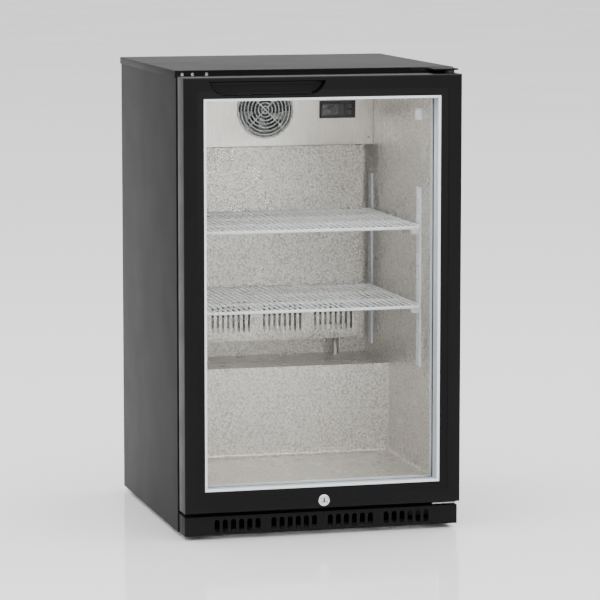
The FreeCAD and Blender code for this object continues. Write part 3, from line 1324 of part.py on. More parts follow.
def make_condenser():
    """A finned coil behind the bulkhead with a framed fan that pulls air through it."""
    low_x = CONDENSER_X
    high_x = low_x + 2 * d.condenser_half
    y = ROOM_FRONT + d.condenser_air
    make_finned_coil("condenser_coil", low_x, high_x, y, d.condenser_depth, CONDENSER_LOW,
                     d.condenser_high, int(d.condenser_rows.number))
    x = (low_x + high_x) / 2
    z = d.cond_fan_height
    frame_y = y + d.condenser_depth + d.shroud_air
    half = d.shroud_half
    block = box("shroud_block", (x - half, frame_y, z - half),
                (x + half, frame_y + d.shroud_depth, z + half))
    bore = cylinder("shroud_bore", (x, frame_y - d.skin, z), "y", d.cond_fan_tip + d.tip_air,
                    d.shroud_depth + 2 * d.skin)
    hollowed = cut("shroud_ring", block, [bore])
    motor_y = frame_y + d.shroud_depth
    motor = cylinder("cond_motor", (x, motor_y, z), "y", d.cond_motor_radius, d.cond_motor_depth)
    shaft = cylinder("cond_shaft", (x, motor_y - d.cond_shaft, z), "y", d.shaft_radius,
                     d.cond_shaft + d.skin)
    bar_back, bar_half = motor_y - d.skin + d.cond_bar_sheet, d.cond_bar_tall / 2
    bar = box("cond_bar", (x - half, motor_y - d.skin, z - bar_half),
              (x + half, bar_back, z + bar_half))
    subpart("condenser_fan_frame", fuse("condenser_fan_frame", [hollowed, motor, shaft, bar]))
    fan_depth = d.shroud_depth - d.fan_room
    make_fan("condenser_fan_blade", x, frame_y + d.tip_air, z, d.cond_fan_hub, d.cond_fan_tip,
             fan_depth)


def pipe(name, points):
    """A round pipe along straight runs joined by tangent arcs."""
    edges = []
    bend = d.pipe_bend.number
    here = points[0]
    for before, corner, after in zip(points, points[1:], points[2:]):
        back, on = (before - corner).normalize(), (after - corner).normalize()
        half_turn = back.getAngle(on) / 2
        trim = bend / math.tan(half_turn)
        start, end = corner + back * trim, corner + on * trim
        towards = (back + on).normalize()
        middle = corner + towards * (bend / math.sin(half_turn) - bend)
        edges += [Part.LineSegment(here, start).toShape(), Part.Arc(start, middle, end).toShape()]
        here = end
    edges.append(Part.LineSegment(here, points[-1]).toShape())
    path = Part.Wire(edges)
    direction = (points[1] - points[0]).normalize()
    section = Part.Wire(Part.makeCircle(d.pipe_radius.number, points[0], direction))
    solid = path.makePipeShell([section], True, False)
    expected = math.pi * d.pipe_radius.number ** 2 * path.Length
    if abs(solid.Volume - expected) > 0.01 * expected:
        raise ValueError(f"{name}: the pipe's volume is off")
    return solid


def make_refrigerant_lines():
    """Discharge, suction and liquid pipes, and the filter drier under the condenser's outlet."""
    comp_x, comp_y = COMP_X.number, (BACK - d.comp_rear).number
    edge = comp_x + d.comp_radius.number
    coil_x = (CONDENSER_X - d.fin_pitch / 2).number
    coil_y = (ROOM_FRONT + d.condenser_air + d.condenser_depth / 2).number
    low_z, high_z = CONDENSER_LOW.number, d.condenser_high.number
    half_pitch = (high_z - low_z) / d.condenser_rows.number / 2
    side_y = comp_y - d.comp_radius.number / 2
    side_z = d.comp_high.number - d.comp_radius.number / 2
    top_z = ROOM_TOP.number - 2 * d.pipe_bend.number
    drier_x = coil_x - 4 * d.pipe_bend.number
    drier_z = low_z + half_pitch + 1.5 * d.pipe_bend.number
    discharge = pipe("discharge", [
        Vector(edge - d.pipe_bend.number, side_y, side_z),
        Vector(edge + 2 * d.pipe_bend.number, side_y, side_z),
        Vector(edge + 2 * d.pipe_bend.number, side_y, high_z - half_pitch),
        Vector(edge + 2 * d.pipe_bend.number, coil_y, high_z - half_pitch),
        Vector(coil_x, coil_y, high_z - half_pitch)])
    suction = pipe("suction", [
        Vector(comp_x, comp_y, d.comp_high.number - d.skin.number),
        Vector(comp_x, comp_y, top_z), Vector(comp_x, coil_y, top_z),
        Vector(edge, coil_y, top_z)])
    liquid = pipe("liquid", [
        Vector(coil_x, coil_y, low_z + half_pitch), Vector(drier_x, coil_y, low_z + half_pitch),
        Vector(drier_x, coil_y, drier_z)])
    lines = doc.addObject("Part::Feature", "refrigerant_lines")
    lines.Shape = Part.makeCompound([discharge, suction, liquid])
    subpart("refrigerant_lines", lines)

    neck = 1.5 * d.drier_radius
    body = cylinder("drier_body", (drier_x, coil_y, drier_z + neck), "z", d.drier_radius,
                    d.drier_length)
    necks = []
    for index, (z, small, large) in enumerate((
            (as_size(drier_z), d.pipe_radius, d.drier_radius),
            (drier_z + neck + d.drier_length, d.drier_radius, d.pipe_radius))):
        cone = doc.addObject("Part::Cone", f"drier_neck_{index}")
        bind(cone, "Radius1", small)
        bind(cone, "Radius2", large)
        bind(cone, "Height", neck)
        necks.append(place(cone, (drier_x, coil_y, z)))
    subpart("filter_drier", fuse("filter_drier", [body] + necks))


def make_evaporation_tray():
    """A shallow tray in front of the compressor where the drained water dries off."""
    low = d.foot_height + d.base_sheet + d.fit_gap
    back = BACK - d.comp_rear - d.comp_radius + d.plate_short - d.pan_tray_air
    pan = tray("evaporation_pan", (-HALF + d.pan_tray_side, ROOM_FRONT + d.pan_tray_air, low),
               (CONDENSER_X - d.pan_tray_end, back, low + d.pan_tray_tall), d.skin, "+z")
    subpart("evaporation_tray", pan)


def make_mains_inlet():
    """A three-pin appliance inlet in the rear grille."""
    x, z = HALF - d.inlet_side, d.inlet_height
    half_width, half_tall, rim = d.inlet_width / 2, d.inlet_tall / 2, d.inlet_rim
    outside = BACK - d.skin
    flange = box("inlet_flange", (x - half_width, outside, z - half_tall),
                 (x + half_width, BACK, z + half_tall))
    case = box("inlet_case", (x - half_width + rim, outside - d.inlet_depth, z - half_tall + rim),
               (x + half_width - rim, BACK, z + half_tall - rim))
    wall = rim + d.inlet_wall
    socket = box("inlet_socket_space", (x - half_width + wall, BACK - d.inlet_socket,
                                        z - half_tall + wall),
                 (x + half_width - wall, BACK + d.skin, z + half_tall - wall))
    shell = cut("inlet_shell", fuse("inlet_blank", [flange, case]), [socket])
    pins = [shell]
    half_wide, half_high = d.contact_wide / 2, d.contact_tall / 2
    for index in (-1, 0, 1):
        pin_x, pin_z = x + index * d.contact_pitch, z + (d.contact_low if index else d.contact_high)
        pins.append(box(f"inlet_pin_{index + 1}",
                        (pin_x - half_wide, BACK - d.inlet_socket - d.skin, pin_z - half_high),
                        (pin_x + half_wide, BACK - d.contact_short, pin_z + half_high)))
    subpart("mains_inlet", fuse("mains_inlet", pins))


# ---------------------------------------------------------------- build

def check_and_export():
    doc.recompute()
    faults = [thing.Label for thing in doc.Objects
              if {"Invalid", "Error"} & set(thing.State)]
    if faults:
        raise RuntimeError(f"failed objects: {faults}")
    os.makedirs("parts", exist_ok=True)
    for piece in SUBPARTS:
        if piece.Shape.isNull() or not piece.Shape.isValid() or not piece.Shape.Solids:
            raise RuntimeError(f"{piece.Label}: bad shape")
        piece.Shape.exportStep(f"parts/{piece.Label}.step")
    print(len(SUBPARTS), "sub-parts written")


make_side_panel("left_side_panel", True)
make_side_panel("right_side_panel", False)
make_worktop()
make_back_panel()
make_rear_grille()
make_base_plate()
for foot_name, foot_place_x, foot_place_y in foot_positions():
    make_foot(foot_name, foot_place_x, foot_place_y)
make_bulkhead()
make_insulation()
make_liner()
make_throat_frame()
make_kick_grille()
make_hinge_brackets()
make_hinge_screws()
make_door_frame()
make_handle_cup()
make_glazing()
make_gasket()
make_hinge_bushes()
make_lock()
make_evaporator_cover()
make_fan_panel()
make_fan_guard()
make_evaporator_fan()
make_finned_coil("evaporator_coil", -COIL_HALF, COIL_HALF, INNER_BACK - d.coil_depth - d.coil_air,
                 d.coil_depth, d.coil_low, SEAM - d.coil_top_air, int(d.coil_rows.number))
make_drip_tray()
make_controller()
subpart("shelf_supports", group("shelf_supports", pilaster_strips() + shelf_clips()))
make_shelf("upper_shelf", UPPER_SHELF)
make_shelf("lower_shelf", LOWER_SHELF)
make_lamp()
make_light_switch()
make_compressor()
make_condenser()
make_refrigerant_lines()
make_evaporation_tray()
make_mains_inlet()
check_and_export()
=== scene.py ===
"""Looks of an undercounter display refrigerator with one glass door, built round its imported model.

Each operator makes one piece or one group of like pieces in metres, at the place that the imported
model gives, and hangs it on the body that it moves with.
"""

import json
import math

import bmesh
import bpy
from bpy.props import FloatProperty, FloatVectorProperty, IntProperty, PointerProperty
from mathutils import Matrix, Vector

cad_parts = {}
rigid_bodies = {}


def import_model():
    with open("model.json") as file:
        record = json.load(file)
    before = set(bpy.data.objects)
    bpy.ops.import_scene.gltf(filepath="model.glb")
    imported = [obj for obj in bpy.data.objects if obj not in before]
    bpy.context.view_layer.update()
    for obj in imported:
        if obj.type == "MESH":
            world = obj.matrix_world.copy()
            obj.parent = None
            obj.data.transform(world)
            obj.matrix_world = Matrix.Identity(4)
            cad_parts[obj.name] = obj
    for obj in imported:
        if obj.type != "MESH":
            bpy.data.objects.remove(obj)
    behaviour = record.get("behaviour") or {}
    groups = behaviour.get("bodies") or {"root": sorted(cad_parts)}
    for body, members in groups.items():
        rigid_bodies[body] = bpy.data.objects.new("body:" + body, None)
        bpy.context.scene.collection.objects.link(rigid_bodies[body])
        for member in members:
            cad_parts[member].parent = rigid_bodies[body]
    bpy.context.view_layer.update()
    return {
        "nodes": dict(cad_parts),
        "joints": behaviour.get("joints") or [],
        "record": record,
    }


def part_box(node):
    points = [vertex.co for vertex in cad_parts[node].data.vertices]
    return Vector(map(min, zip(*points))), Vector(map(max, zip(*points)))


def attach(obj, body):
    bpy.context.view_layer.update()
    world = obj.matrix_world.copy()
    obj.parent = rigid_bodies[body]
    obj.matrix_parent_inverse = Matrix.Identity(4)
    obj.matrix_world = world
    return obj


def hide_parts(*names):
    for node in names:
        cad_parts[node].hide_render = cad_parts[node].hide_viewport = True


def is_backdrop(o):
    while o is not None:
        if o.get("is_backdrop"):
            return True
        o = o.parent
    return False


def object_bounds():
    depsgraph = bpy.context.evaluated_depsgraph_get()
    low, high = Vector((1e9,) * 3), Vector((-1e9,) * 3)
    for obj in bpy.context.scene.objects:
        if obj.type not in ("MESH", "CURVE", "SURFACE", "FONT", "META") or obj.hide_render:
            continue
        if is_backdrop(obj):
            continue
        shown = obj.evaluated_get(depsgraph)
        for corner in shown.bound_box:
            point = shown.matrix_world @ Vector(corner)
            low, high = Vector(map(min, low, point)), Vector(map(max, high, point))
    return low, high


for spare in list(bpy.data.objects):
    bpy.data.objects.remove(spare)
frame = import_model()

bl_info = {
    "name": "Undercounter Refrigerator",
    "version": (1, 0, 0),
    "blender": (4, 5, 0),
    "location": "3D View > Sidebar > Refrigerator",
    "description": "Builds the visible pieces of a glass-door undercounter refrigerator",
    "category": "Object",
}

MM = 0.001
TINY = 1e-6             # points nearer than this are one
SHARP_ANGLE = 38        # edges that turn by more degrees stay sharp
FOLD_ANGLE = 40         # edges that turn by more degrees are folds, and get rounded


# ---------------------------------------------------------------- colour and nodes

def srgb(code):
    """Linear colour of an sRGB hex value."""
    channels = [int(code[start:start + 2], 16) / 255 for start in (1, 3, 5)]
    return tuple(c / 12.92 if c <= 0.04045 else ((c + 0.055) / 1.055) ** 2.4 for c in channels)


def opaque(colour):
    """A colour with full alpha, as node sockets take it."""
    return (*colour, 1.0)


def add_node(tree, kind, settings=None, links=None):
    """Adds a node. A setting is an input by name or number, or else an attribute; a link takes an
    input from (node, output)."""
    node = tree.nodes.new(kind)
    for key, value in (settings or {}).items():
        if isinstance(key, int) or key in node.inputs:
            node.inputs[key].default_value = value
        else:
            setattr(node, key, value)
    for key, (source, output) in (links or {}).items():
        tree.links.new(source.outputs[output], node.inputs[key])
    return node


# ---------------------------------------------------------------- settings

def colour_property(name, description, code):
    """A colour that the user can change, from an sRGB hex value."""
    return FloatVectorProperty(name=name, description=description, subtype="COLOR", size=3,
                               min=0.0, max=1.0, default=srgb(code))


def length_property(name, description, millimetres):
    """A length that the user can change, shown in the scene's unit."""
    return FloatProperty(name=name, description=description, default=millimetres * MM, min=0.0,
                         precision=4, subtype="DISTANCE", unit="LENGTH")


class CoolerFinishes(bpy.types.PropertyGroup):
    """Colours of the finishes."""

    cabinet_paint: colour_property("Cabinet paint", "Powder coat of the cabinet", "#151516")
    door_plastic: colour_property("Door plastic", "Moulded frame of the door", "#0b0b0c")
    liner_metal: colour_property("Liner", "Embossed aluminium of the interior", "#ded8d0")
    shelf_coat: colour_property("Shelf coat", "Plastic coat of the wire shelves", "#eef0f0")
    bead_plastic: colour_property("Bead", "Bead round the glass", "#e6e8ea")
    lens_light: colour_property("Lamp light", "Light that the lamp gives", "#f4f8ff")
    floor_white: colour_property("Studio floor", "Pale floor under the object", "#fafafa")


class CoolerSizes(bpy.types.PropertyGroup):
    """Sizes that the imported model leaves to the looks."""

    sheet_bend: length_property("Sheet bend", "Outer radius of a folded sheet edge", 1.6)
    door_edge: length_property("Door edge", "Rounding of the door's outer edges", 3.5)
    band_width: length_property("Flat band", "Flat outer band of the door frame", 25)
    band_step: length_property("Band step", "Step inside the flat band", 1.5)
    bevel_drop: length_property("Slope", "Door front to the sloped band's inner edge", 6)
    lip_depth: length_property("Glass depth", "Door front to the face of the glass", 8)
    wire_pitch: length_property("Wire pitch", "Wire to wire on the shelves", 11.5)
    shelf_wire: length_property("Shelf wire", "Radius of a shelf wire with its coat", 1.5)
    shelf_rod: length_property("Shelf rod", "Radius of a cross rod with its coat", 3.0)
    guard_wire: length_property("Guard wire", "Radius of the fan guard's wire", 1.2)
    fin_pitch: length_property("Fin pitch", "Fin to fin on both coils", 3.0)
    emboss_size: length_property("Emboss", "Width of one embossed pebble of the liner", 3.4)
    guard_rings: IntProperty(name="Guard rings", description="Rings of the fan guard", default=8,
                             min=1)
    lamp_strength: FloatProperty(name="Lamp strength", description="Brightness of the lamp lens",
                                 default=30.0, min=0.0)


# ---------------------------------------------------------------- materials

def new_material(name, colour, roughness, metallic=0.0, **sockets):
    """A material with one Principled shader. Returns its tree, shader and coordinates."""
    material = bpy.data.materials.new(name)
    material.use_nodes = True
    tree = material.node_tree
    tree.nodes.clear()
    settings = {"Base Color": opaque(colour), "Roughness": roughness, "Metallic": metallic}
    settings.update({key.replace("_", " "): value for key, value in sockets.items()})
    shader = add_node(tree, "ShaderNodeBsdfPrincipled", settings)
    add_node(tree, "ShaderNodeOutputMaterial", links={"Surface": (shader, "BSDF")})
    return tree, shader, add_node(tree, "ShaderNodeTexCoord")


def grain(tree, place, size, detail=2.0, stretch=(1.0, 1.0, 1.0)):
    """Noise whose features are size metres wide, stretched per axis."""
    scaled = add_node(tree, "ShaderNodeMapping",
                      {"Scale": [1.0 / (size * factor) for factor in stretch]},
                      {"Vector": (place, "Object")})
    return add_node(tree, "ShaderNodeTexNoise", {"Scale": 1.0, "Detail": detail},
                    {"Vector": (scaled, "Vector")})


def spread(tree, source, output, low, high, from_low=0.3, from_high=0.7):
    """Maps a pattern to the range low to high."""
    return add_node(tree, "ShaderNodeMapRange",
                    {"From Min": from_low, "From Max": from_high, "To Min": low, "To Max": high},
                    {"Value": (source, output)})


def tint(tree, shader, source, output, dark, light, from_low=0.3, from_high=0.7):
    """Colours a surface between two colours by a pattern."""
    factor = spread(tree, source, output, 0.0, 1.0, from_low, from_high)
    mix = add_node(tree, "ShaderNodeMix", {"data_type": "RGBA"})
    mix.inputs[6].default_value = opaque(dark)
    mix.inputs[7].default_value = opaque(light)
    tree.links.new(factor.outputs["Result"], mix.inputs[0])
    tree.links.new(mix.outputs[2], shader.inputs["Base Color"])


def rough_by(tree, shader, source, output, low, high):
    """Varies the roughness from low to high by a pattern."""
    varied = spread(tree, source, output, low, high)
    tree.links.new(varied.outputs["Result"], shader.inputs["Roughness"])


def bump_by(tree, shader, source, output, distance, strength=1.0):
    """Raises the surface by a pattern, distance metres at full height."""
    bump = add_node(tree, "ShaderNodeBump", {"Strength": strength, "Distance": distance},
                    {"Height": (source, output)})
    tree.links.new(bump.outputs["Normal"], shader.inputs["Normal"])


def shade(colour, factor):
    """A darker or lighter shade of a colour."""
    return tuple(min(1.0, channel * factor) for channel in colour)


def powder_coat(finishes):
    # Baked powder on steel: satin, with a fine orange peel that is drawn 2 mm wide so it shows,
    # and faint handling marks a hand's width apart.
    colour = tuple(finishes.cabinet_paint)
    tree, shader, place = new_material("powder_coated_steel", colour, 0.42,
                                       Specular_IOR_Level=0.07)
    peel = grain(tree, place, 2.0 * MM)
    bump_by(tree, shader, peel, "Fac", 0.03 * MM, 0.6)
    marks = grain(tree, place, 90 * MM, 3.0)
    rough_by(tree, shader, marks, "Fac", 0.48, 0.52)
    tint(tree, shader, marks, "Fac", shade(colour, 0.96), shade(colour, 1.04))


def door_abs(finishes):
    # Moulded ABS with a fine spark-eroded grain, drawn 1 mm wide: a deeper black than the
    # cabinet, with a soft gleam along its rounded edges.
    colour = tuple(finishes.door_plastic)
    tree, shader, place = new_material("moulded_black_abs", colour, 0.34,
                                       Specular_IOR_Level=0.12)
    skin = grain(tree, place, 1.0 * MM)
    bump_by(tree, shader, skin, "Fac", 0.02 * MM, 0.6)
    flow = grain(tree, place, 60 * MM, 2.0, (4.0, 1.0, 1.0))
    rough_by(tree, shader, flow, "Fac", 0.38, 0.45)
    tint(tree, shader, flow, "Fac", shade(colour, 0.93), shade(colour, 1.1))


def stucco_aluminium(finishes):
    # Aluminium sheet rolled with a stucco pattern: rounded pebbles that glitter where the lamp
    # catches them. Their colour also carries painted light: each pebble is painted lighter in its
    # middle and darker towards its rim.
    sizes = bpy.context.scene.cooler_sizes
    colour = tuple(finishes.liner_metal)
    tree, shader, place = new_material("stucco_embossed_aluminium", colour, 0.3, 0.75)
    wander = grain(tree, place, 2.5 * sizes.emboss_size, 1.0)
    shifted = add_node(tree, "ShaderNodeVectorMath", {"operation": "MULTIPLY_ADD",
                                                      1: (0.0016, 0.0016, 0.0016)},
                       {0: (wander, "Color"), 2: (place, "Object")})
    pebbles = add_node(tree, "ShaderNodeTexVoronoi",
                       {"feature": "SMOOTH_F1", "Scale": 1.0 / sizes.emboss_size,
                        "Smoothness": 0.6}, {"Vector": (shifted, "Vector")})
    bump_by(tree, shader, pebbles, "Distance", 0.9 * MM)
    # Painted highlight and shade: each pebble's middle is coloured lighter and its rim darker.
    tint(tree, shader, pebbles, "Distance", shade(colour, 1.15), shade(colour, 0.62), 0.15, 0.75)
    dull = grain(tree, place, 70 * MM)
    rough_by(tree, shader, dull, "Fac", 0.24, 0.34)


def shade_dark_lining(finishes):
    # Black lining inside the evaporator cover: its black is painted shade, so the inside of the
    # cover looks dark through the slots. Matt, with pores about 1 mm wide.
    tree, shader, place = new_material("closed_cell_foam_lining", srgb("#121213"), 0.9)
    pores = grain(tree, place, 1.0 * MM)
    bump_by(tree, shader, pores, "Fac", 0.2 * MM)
    tint(tree, shader, pores, "Fac", srgb("#0b0b0c"), srgb("#1b1b1c"))


def mill_aluminium(finishes):
    # Rolled aluminium as it leaves the mill: long fine roll marks down the sheet.
    colour = shade(tuple(finishes.liner_metal), 1.04)
    tree, shader, place = new_material("mill_finish_aluminium", colour, 0.3, 1.0)
    marks = grain(tree, place, 0.7 * MM, 2.0, (1.0, 1.0, 60.0))
    rough_by(tree, shader, marks, "Fac", 0.24, 0.4)
    bump_by(tree, shader, marks, "Fac", 0.01 * MM, 0.5)


def shade_dark_fins(finishes):
    # Fins coloured a dull dark grey: the darkness is painted shade, so the slots before them look
    # deep.
    tree, shader, place = new_material("epoxy_coated_fins", srgb("#3c3d3d"), 0.5, 0.3)
    coat = grain(tree, place, 8 * MM, 3.0)
    tint(tree, shader, coat, "Fac", srgb("#323333"), srgb("#484949"))
    rough_by(tree, shader, coat, "Fac", 0.44, 0.56)


def spacer_aluminium(finishes):
    # Bead-blasted aluminium bar between the panes: pale, matt, slightly blue.
    tree, shader, place = new_material("blasted_spacer_aluminium", srgb("#d3d8e0"), 0.5, 0.4)
    blast = grain(tree, place, 0.8 * MM)
    bump_by(tree, shader, blast, "Fac", 0.03 * MM, 0.6)
    rough_by(tree, shader, grain(tree, place, 25 * MM), "Fac", 0.45, 0.56)


def galvanised_sheet(finishes):
    # Hot-dip galvanised steel: grey zinc crystals about 9 mm wide, each with its own brightness.
    tree, shader, place = new_material("galvanised_sheet", srgb("#9da1a4"), 0.42, 1.0)
    spangle = add_node(tree, "ShaderNodeTexVoronoi", {"Scale": 1.0 / (9 * MM)},
                       {"Vector": (place, "Object")})
    tint(tree, shader, spangle, "Color", srgb("#94989b"), srgb("#a5a9ab"), 0.1, 0.9)
    rough_by(tree, shader, spangle, "Color", 0.42, 0.48)


def zinc_plate(finishes):
    # Bright zinc plating: a pale grey metal with a slightly blue cast and faint clouding.
    tree, shader, place = new_material("zinc_plated_steel", srgb("#c3c7c9"), 0.28, 1.0)
    cloud = grain(tree, place, 5 * MM, 3.0)
    rough_by(tree, shader, cloud, "Fac", 0.22, 0.36)
    tint(tree, shader, cloud, "Fac", srgb("#b4b8bb"), srgb("#cfd2d2"))


def chromed_zinc(finishes):
    # Polished chrome on a zinc casting, with hairlines from the key and cloths.
    tree, shader, place = new_material("chromed_zinc", srgb("#dadbdc"), 0.1, 1.0)
    hair = grain(tree, place, 0.4 * MM, 2.0, (20.0, 1.0, 1.0))
    rough_by(tree, shader, hair, "Fac", 0.06, 0.16)


def wire_coat(finishes):
    # Polyethylene dipped over steel wire: thick, white and glossy, a little uneven along the wire.
    colour = tuple(finishes.shelf_coat)
    tree, shader, place = new_material("dipped_polyethylene", colour, 0.24, IOR=1.5,
                                       Subsurface_Weight=0.08, Subsurface_Scale=1.0 * MM)
    dip = grain(tree, place, 4 * MM, 1.0)
    bump_by(tree, shader, dip, "Fac", 0.05 * MM, 0.7)
    rough_by(tree, shader, dip, "Fac", 0.2, 0.3)


def white_abs(finishes):
    # Moulded white ABS, satin, with a fine mould grain drawn 1 mm wide.
    tree, shader, place = new_material("moulded_white_abs", srgb("#e4e6e8"), 0.38, IOR=1.53)
    skin = grain(tree, place, 1.0 * MM)
    bump_by(tree, shader, skin, "Fac", 0.02 * MM, 0.5)
    rough_by(tree, shader, grain(tree, place, 30 * MM), "Fac", 0.33, 0.43)


def bead_pvc(finishes):
    # Extruded PVC bead: silvery white with draw lines along its length.
    colour = tuple(finishes.bead_plastic)
    tree, shader, place = new_material("extruded_white_pvc", colour, 0.3, IOR=1.53)
    lines = grain(tree, place, 1.2 * MM, 1.0, (1.0, 1.0, 1.0))
    rough_by(tree, shader, lines, "Fac", 0.26, 0.36)
    bump_by(tree, shader, lines, "Fac", 0.01 * MM, 0.4)


def throat_pvc(finishes):
    # White PVC of the opening's frame, slightly cool, with a satin skin.
    tree, shader, place = new_material("extruded_throat_pvc", srgb("#dfe4ea"), 0.35, IOR=1.53)
    skin = grain(tree, place, 2.0 * MM)
    bump_by(tree, shader, skin, "Fac", 0.02 * MM, 0.4)
    rough_by(tree, shader, grain(tree, place, 50 * MM), "Fac", 0.3, 0.4)


def gasket_pvc(finishes):
    # Soft PVC of the magnetic gasket: matt dark grey that shows a little dust.
    tree, shader, place = new_material("soft_gasket_pvc", srgb("#2c2d2f"), 0.6)
    dust = grain(tree, place, 12 * MM, 4.0)
    tint(tree, shader, dust, "Fac", srgb("#242527"), srgb("#3a3b3d"))
    rough_by(tree, shader, dust, "Fac", 0.52, 0.7)


def black_nylon(finishes):
    # Injection moulded nylon: dull black with a waxy skin.
    tree, shader, place = new_material("moulded_black_nylon", srgb("#1a1a1b"), 0.48)
    skin = grain(tree, place, 1.2 * MM)
    bump_by(tree, shader, skin, "Fac", 0.03 * MM, 0.6)
    rough_by(tree, shader, grain(tree, place, 20 * MM), "Fac", 0.42, 0.55)


def painted_shade_sheet(finishes):
    # Matt black sheet deep inside the machine room, on the hinge plate and in the keyway: the black
    # is painted shade, so what shows through the kick grille's slots and the keyway looks dark.
    # Faint random dust.
    tree, shader, place = new_material("matt_black_sheet", srgb("#0c0c0d"), 0.7)
    dust = grain(tree, place, 25 * MM, 4.0)
    tint(tree, shader, dust, "Fac", srgb("#08080a"), srgb("#151516"))
    rough_by(tree, shader, dust, "Fac", 0.62, 0.8)


def smoked_acrylic(finishes):
    # Smoked window of the thermometer: near black and mirror smooth, with light wipe marks.
    tree, shader, place = new_material("smoked_acrylic", srgb("#0b0b0c"), 0.08, IOR=1.49)
    wipes = grain(tree, place, 6 * MM, 3.0, (6.0, 1.0, 1.0))
    rough_by(tree, shader, wipes, "Fac", 0.05, 0.14)


def display_segment(finishes):
    # Unlit segments of the thermometer: a dull red-grey under the window.
    tree, shader, place = new_material("unlit_led_segment", srgb("#6b4a48"), 0.4)
    tint(tree, shader, grain(tree, place, 1.5 * MM), "Fac", srgb("#5a3f3e"), srgb("#7d5856"))


def compressor_enamel(finishes):
    # Dipped black enamel on a pressed shell: semi-gloss, with sags a few millimetres wide.
    tree, shader, place = new_material("dipped_black_enamel", srgb("#161617"), 0.28)
    sags = grain(tree, place, 9 * MM, 2.0, (1.0, 1.0, 2.5))
    bump_by(tree, shader, sags, "Fac", 0.15 * MM, 0.5)
    rough_by(tree, shader, sags, "Fac", 0.22, 0.36)


def copper_tube(finishes):
    # Drawn copper that has darkened in patches where it was brazed and handled.
    tree, shader, place = new_material("drawn_copper", srgb("#b8734f"), 0.3, 1.0)
    age = grain(tree, place, 14 * MM, 4.0)
    tint(tree, shader, age, "Fac", srgb("#8a4f35"), srgb("#cc8560"))
    rough_by(tree, shader, age, "Fac", 0.22, 0.45)


def rigid_foam(finishes):
    # Blown polyurethane: pale yellow with open cells about 1 mm wide.
    tree, shader, place = new_material("rigid_polyurethane_foam", srgb("#ddd0a4"), 0.9)
    cells = add_node(tree, "ShaderNodeTexVoronoi", {"Scale": 1.0 / (1.2 * MM)},
                     {"Vector": (place, "Object")})
    bump_by(tree, shader, cells, "Distance", 0.4 * MM)
    tint(tree, shader, cells, "Distance", srgb("#e4d8ae"), srgb("#c9ba8a"), 0.1, 0.8)


def through_lamps(tree, shader):
    """Lets light from lamps through a clear pane, which would otherwise leave a solid shadow."""
    path = add_node(tree, "ShaderNodeLightPath")
    clear = add_node(tree, "ShaderNodeBsdfTransparent", {"Color": (0.97, 0.975, 0.97, 1.0)})
    mix = add_node(tree, "ShaderNodeMixShader", links={0: (path, "Is Shadow Ray"),
                                                       1: (shader, "BSDF"), 2: (clear, "BSDF")})
    output = next(node for node in tree.nodes if node.type == "OUTPUT_MATERIAL")
    tree.links.new(mix.outputs["Shader"], output.inputs["Surface"])


def float_glass(finishes):
    # Clear float glass: flat, with the faintest film of wipe marks. Real glass has an index of
    # about 1.52; a lower one keeps the room's reflection faint over the interior.
    tree, shader, place = new_material("float_glass", srgb("#fdfefe"), 0.0, IOR=1.18,
                                       Transmission_Weight=1.0)
    film = grain(tree, place, 120 * MM, 2.0)
    rough_by(tree, shader, film, "Fac", 0.0, 0.012)
    through_lamps(tree, shader)


def opal_lens(finishes):
    # Opal acrylic over a row of white diodes: an even glow with a slow ripple along its length.
    sizes = bpy.context.scene.cooler_sizes
    tree, shader, place = new_material("opal_acrylic", srgb("#f6f8fa"), 0.35, IOR=1.49,
                                       Emission_Strength=sizes.lamp_strength)
    shader.inputs["Emission Color"].default_value = opaque(tuple(finishes.lens_light))
    ripple = grain(tree, place, 16 * MM, 0.0)
    rough_by(tree, shader, ripple, "Fac", 0.3, 0.4)


def studio_floor(finishes):
    # Pale acrylic sheet of the studio: soft reflection that blurs with distance.
    colour = tuple(finishes.floor_white)
    tree, shader, place = new_material("pale_acrylic_floor", colour, 0.1, IOR=1.4)
    film = grain(tree, place, 900 * MM, 0.0)
    rough_by(tree, shader, film, "Fac", 0.095, 0.105)


FINISHES = (powder_coat, door_abs, stucco_aluminium, shade_dark_lining, mill_aluminium, shade_dark_fins,
            spacer_aluminium, galvanised_sheet, zinc_plate, chromed_zinc, wire_coat, white_abs,
            bead_pvc, throat_pvc, gasket_pvc, black_nylon, painted_shade_sheet, smoked_acrylic,
            display_segment, compressor_enamel, copper_tube, rigid_foam, float_glass, opal_lens,
            studio_floor)


def finish(name):
    return bpy.data.materials[name]


# ---------------------------------------------------------------- meshes

BODY_OF = {node: body for body, nodes in frame["record"]["behaviour"]["bodies"].items()
           for node in nodes}


def in_space(axis, u, v, w):
    """A point of an outline (u, v) at w along an axis."""
    return {"x": Vector((w, u, v)), "y": Vector((u, w, v)), "z": Vector((u, v, w))}[axis]


def rounded(points, steps=4):
    """A closed outline whose corners are rounded where a point is (u, v, radius)."""
    outline = []
    for index, point in enumerate(points):
        here = Vector(point[:2])
        if len(point) == 2:
            outline.append(here)
            continue
        back = (Vector(points[index - 1][:2]) - here).normalized()
        onward = (Vector(points[(index + 1) % len(points)][:2]) - here).normalized()
        half = back.angle(onward) / 2
        centre = here + (back + onward).normalized() * point[2] / math.sin(half)
        start = here + back * point[2] / math.tan(half) - centre
        end = here + onward * point[2] / math.tan(half) - centre
        sweep = start.angle(end)
        for step in range(steps + 1):
            part = step / steps
            outline.append(centre + (start * math.sin((1 - part) * sweep)
                                     + end * math.sin(part * sweep)) / math.sin(sweep))
    return outline


def circle(u, v, radius, count=32):
    """A round outline of count points."""
    return [Vector((u + radius * math.cos(2 * math.pi * step / count),
                    v + radius * math.sin(2 * math.pi * step / count))) for step in range(count)]


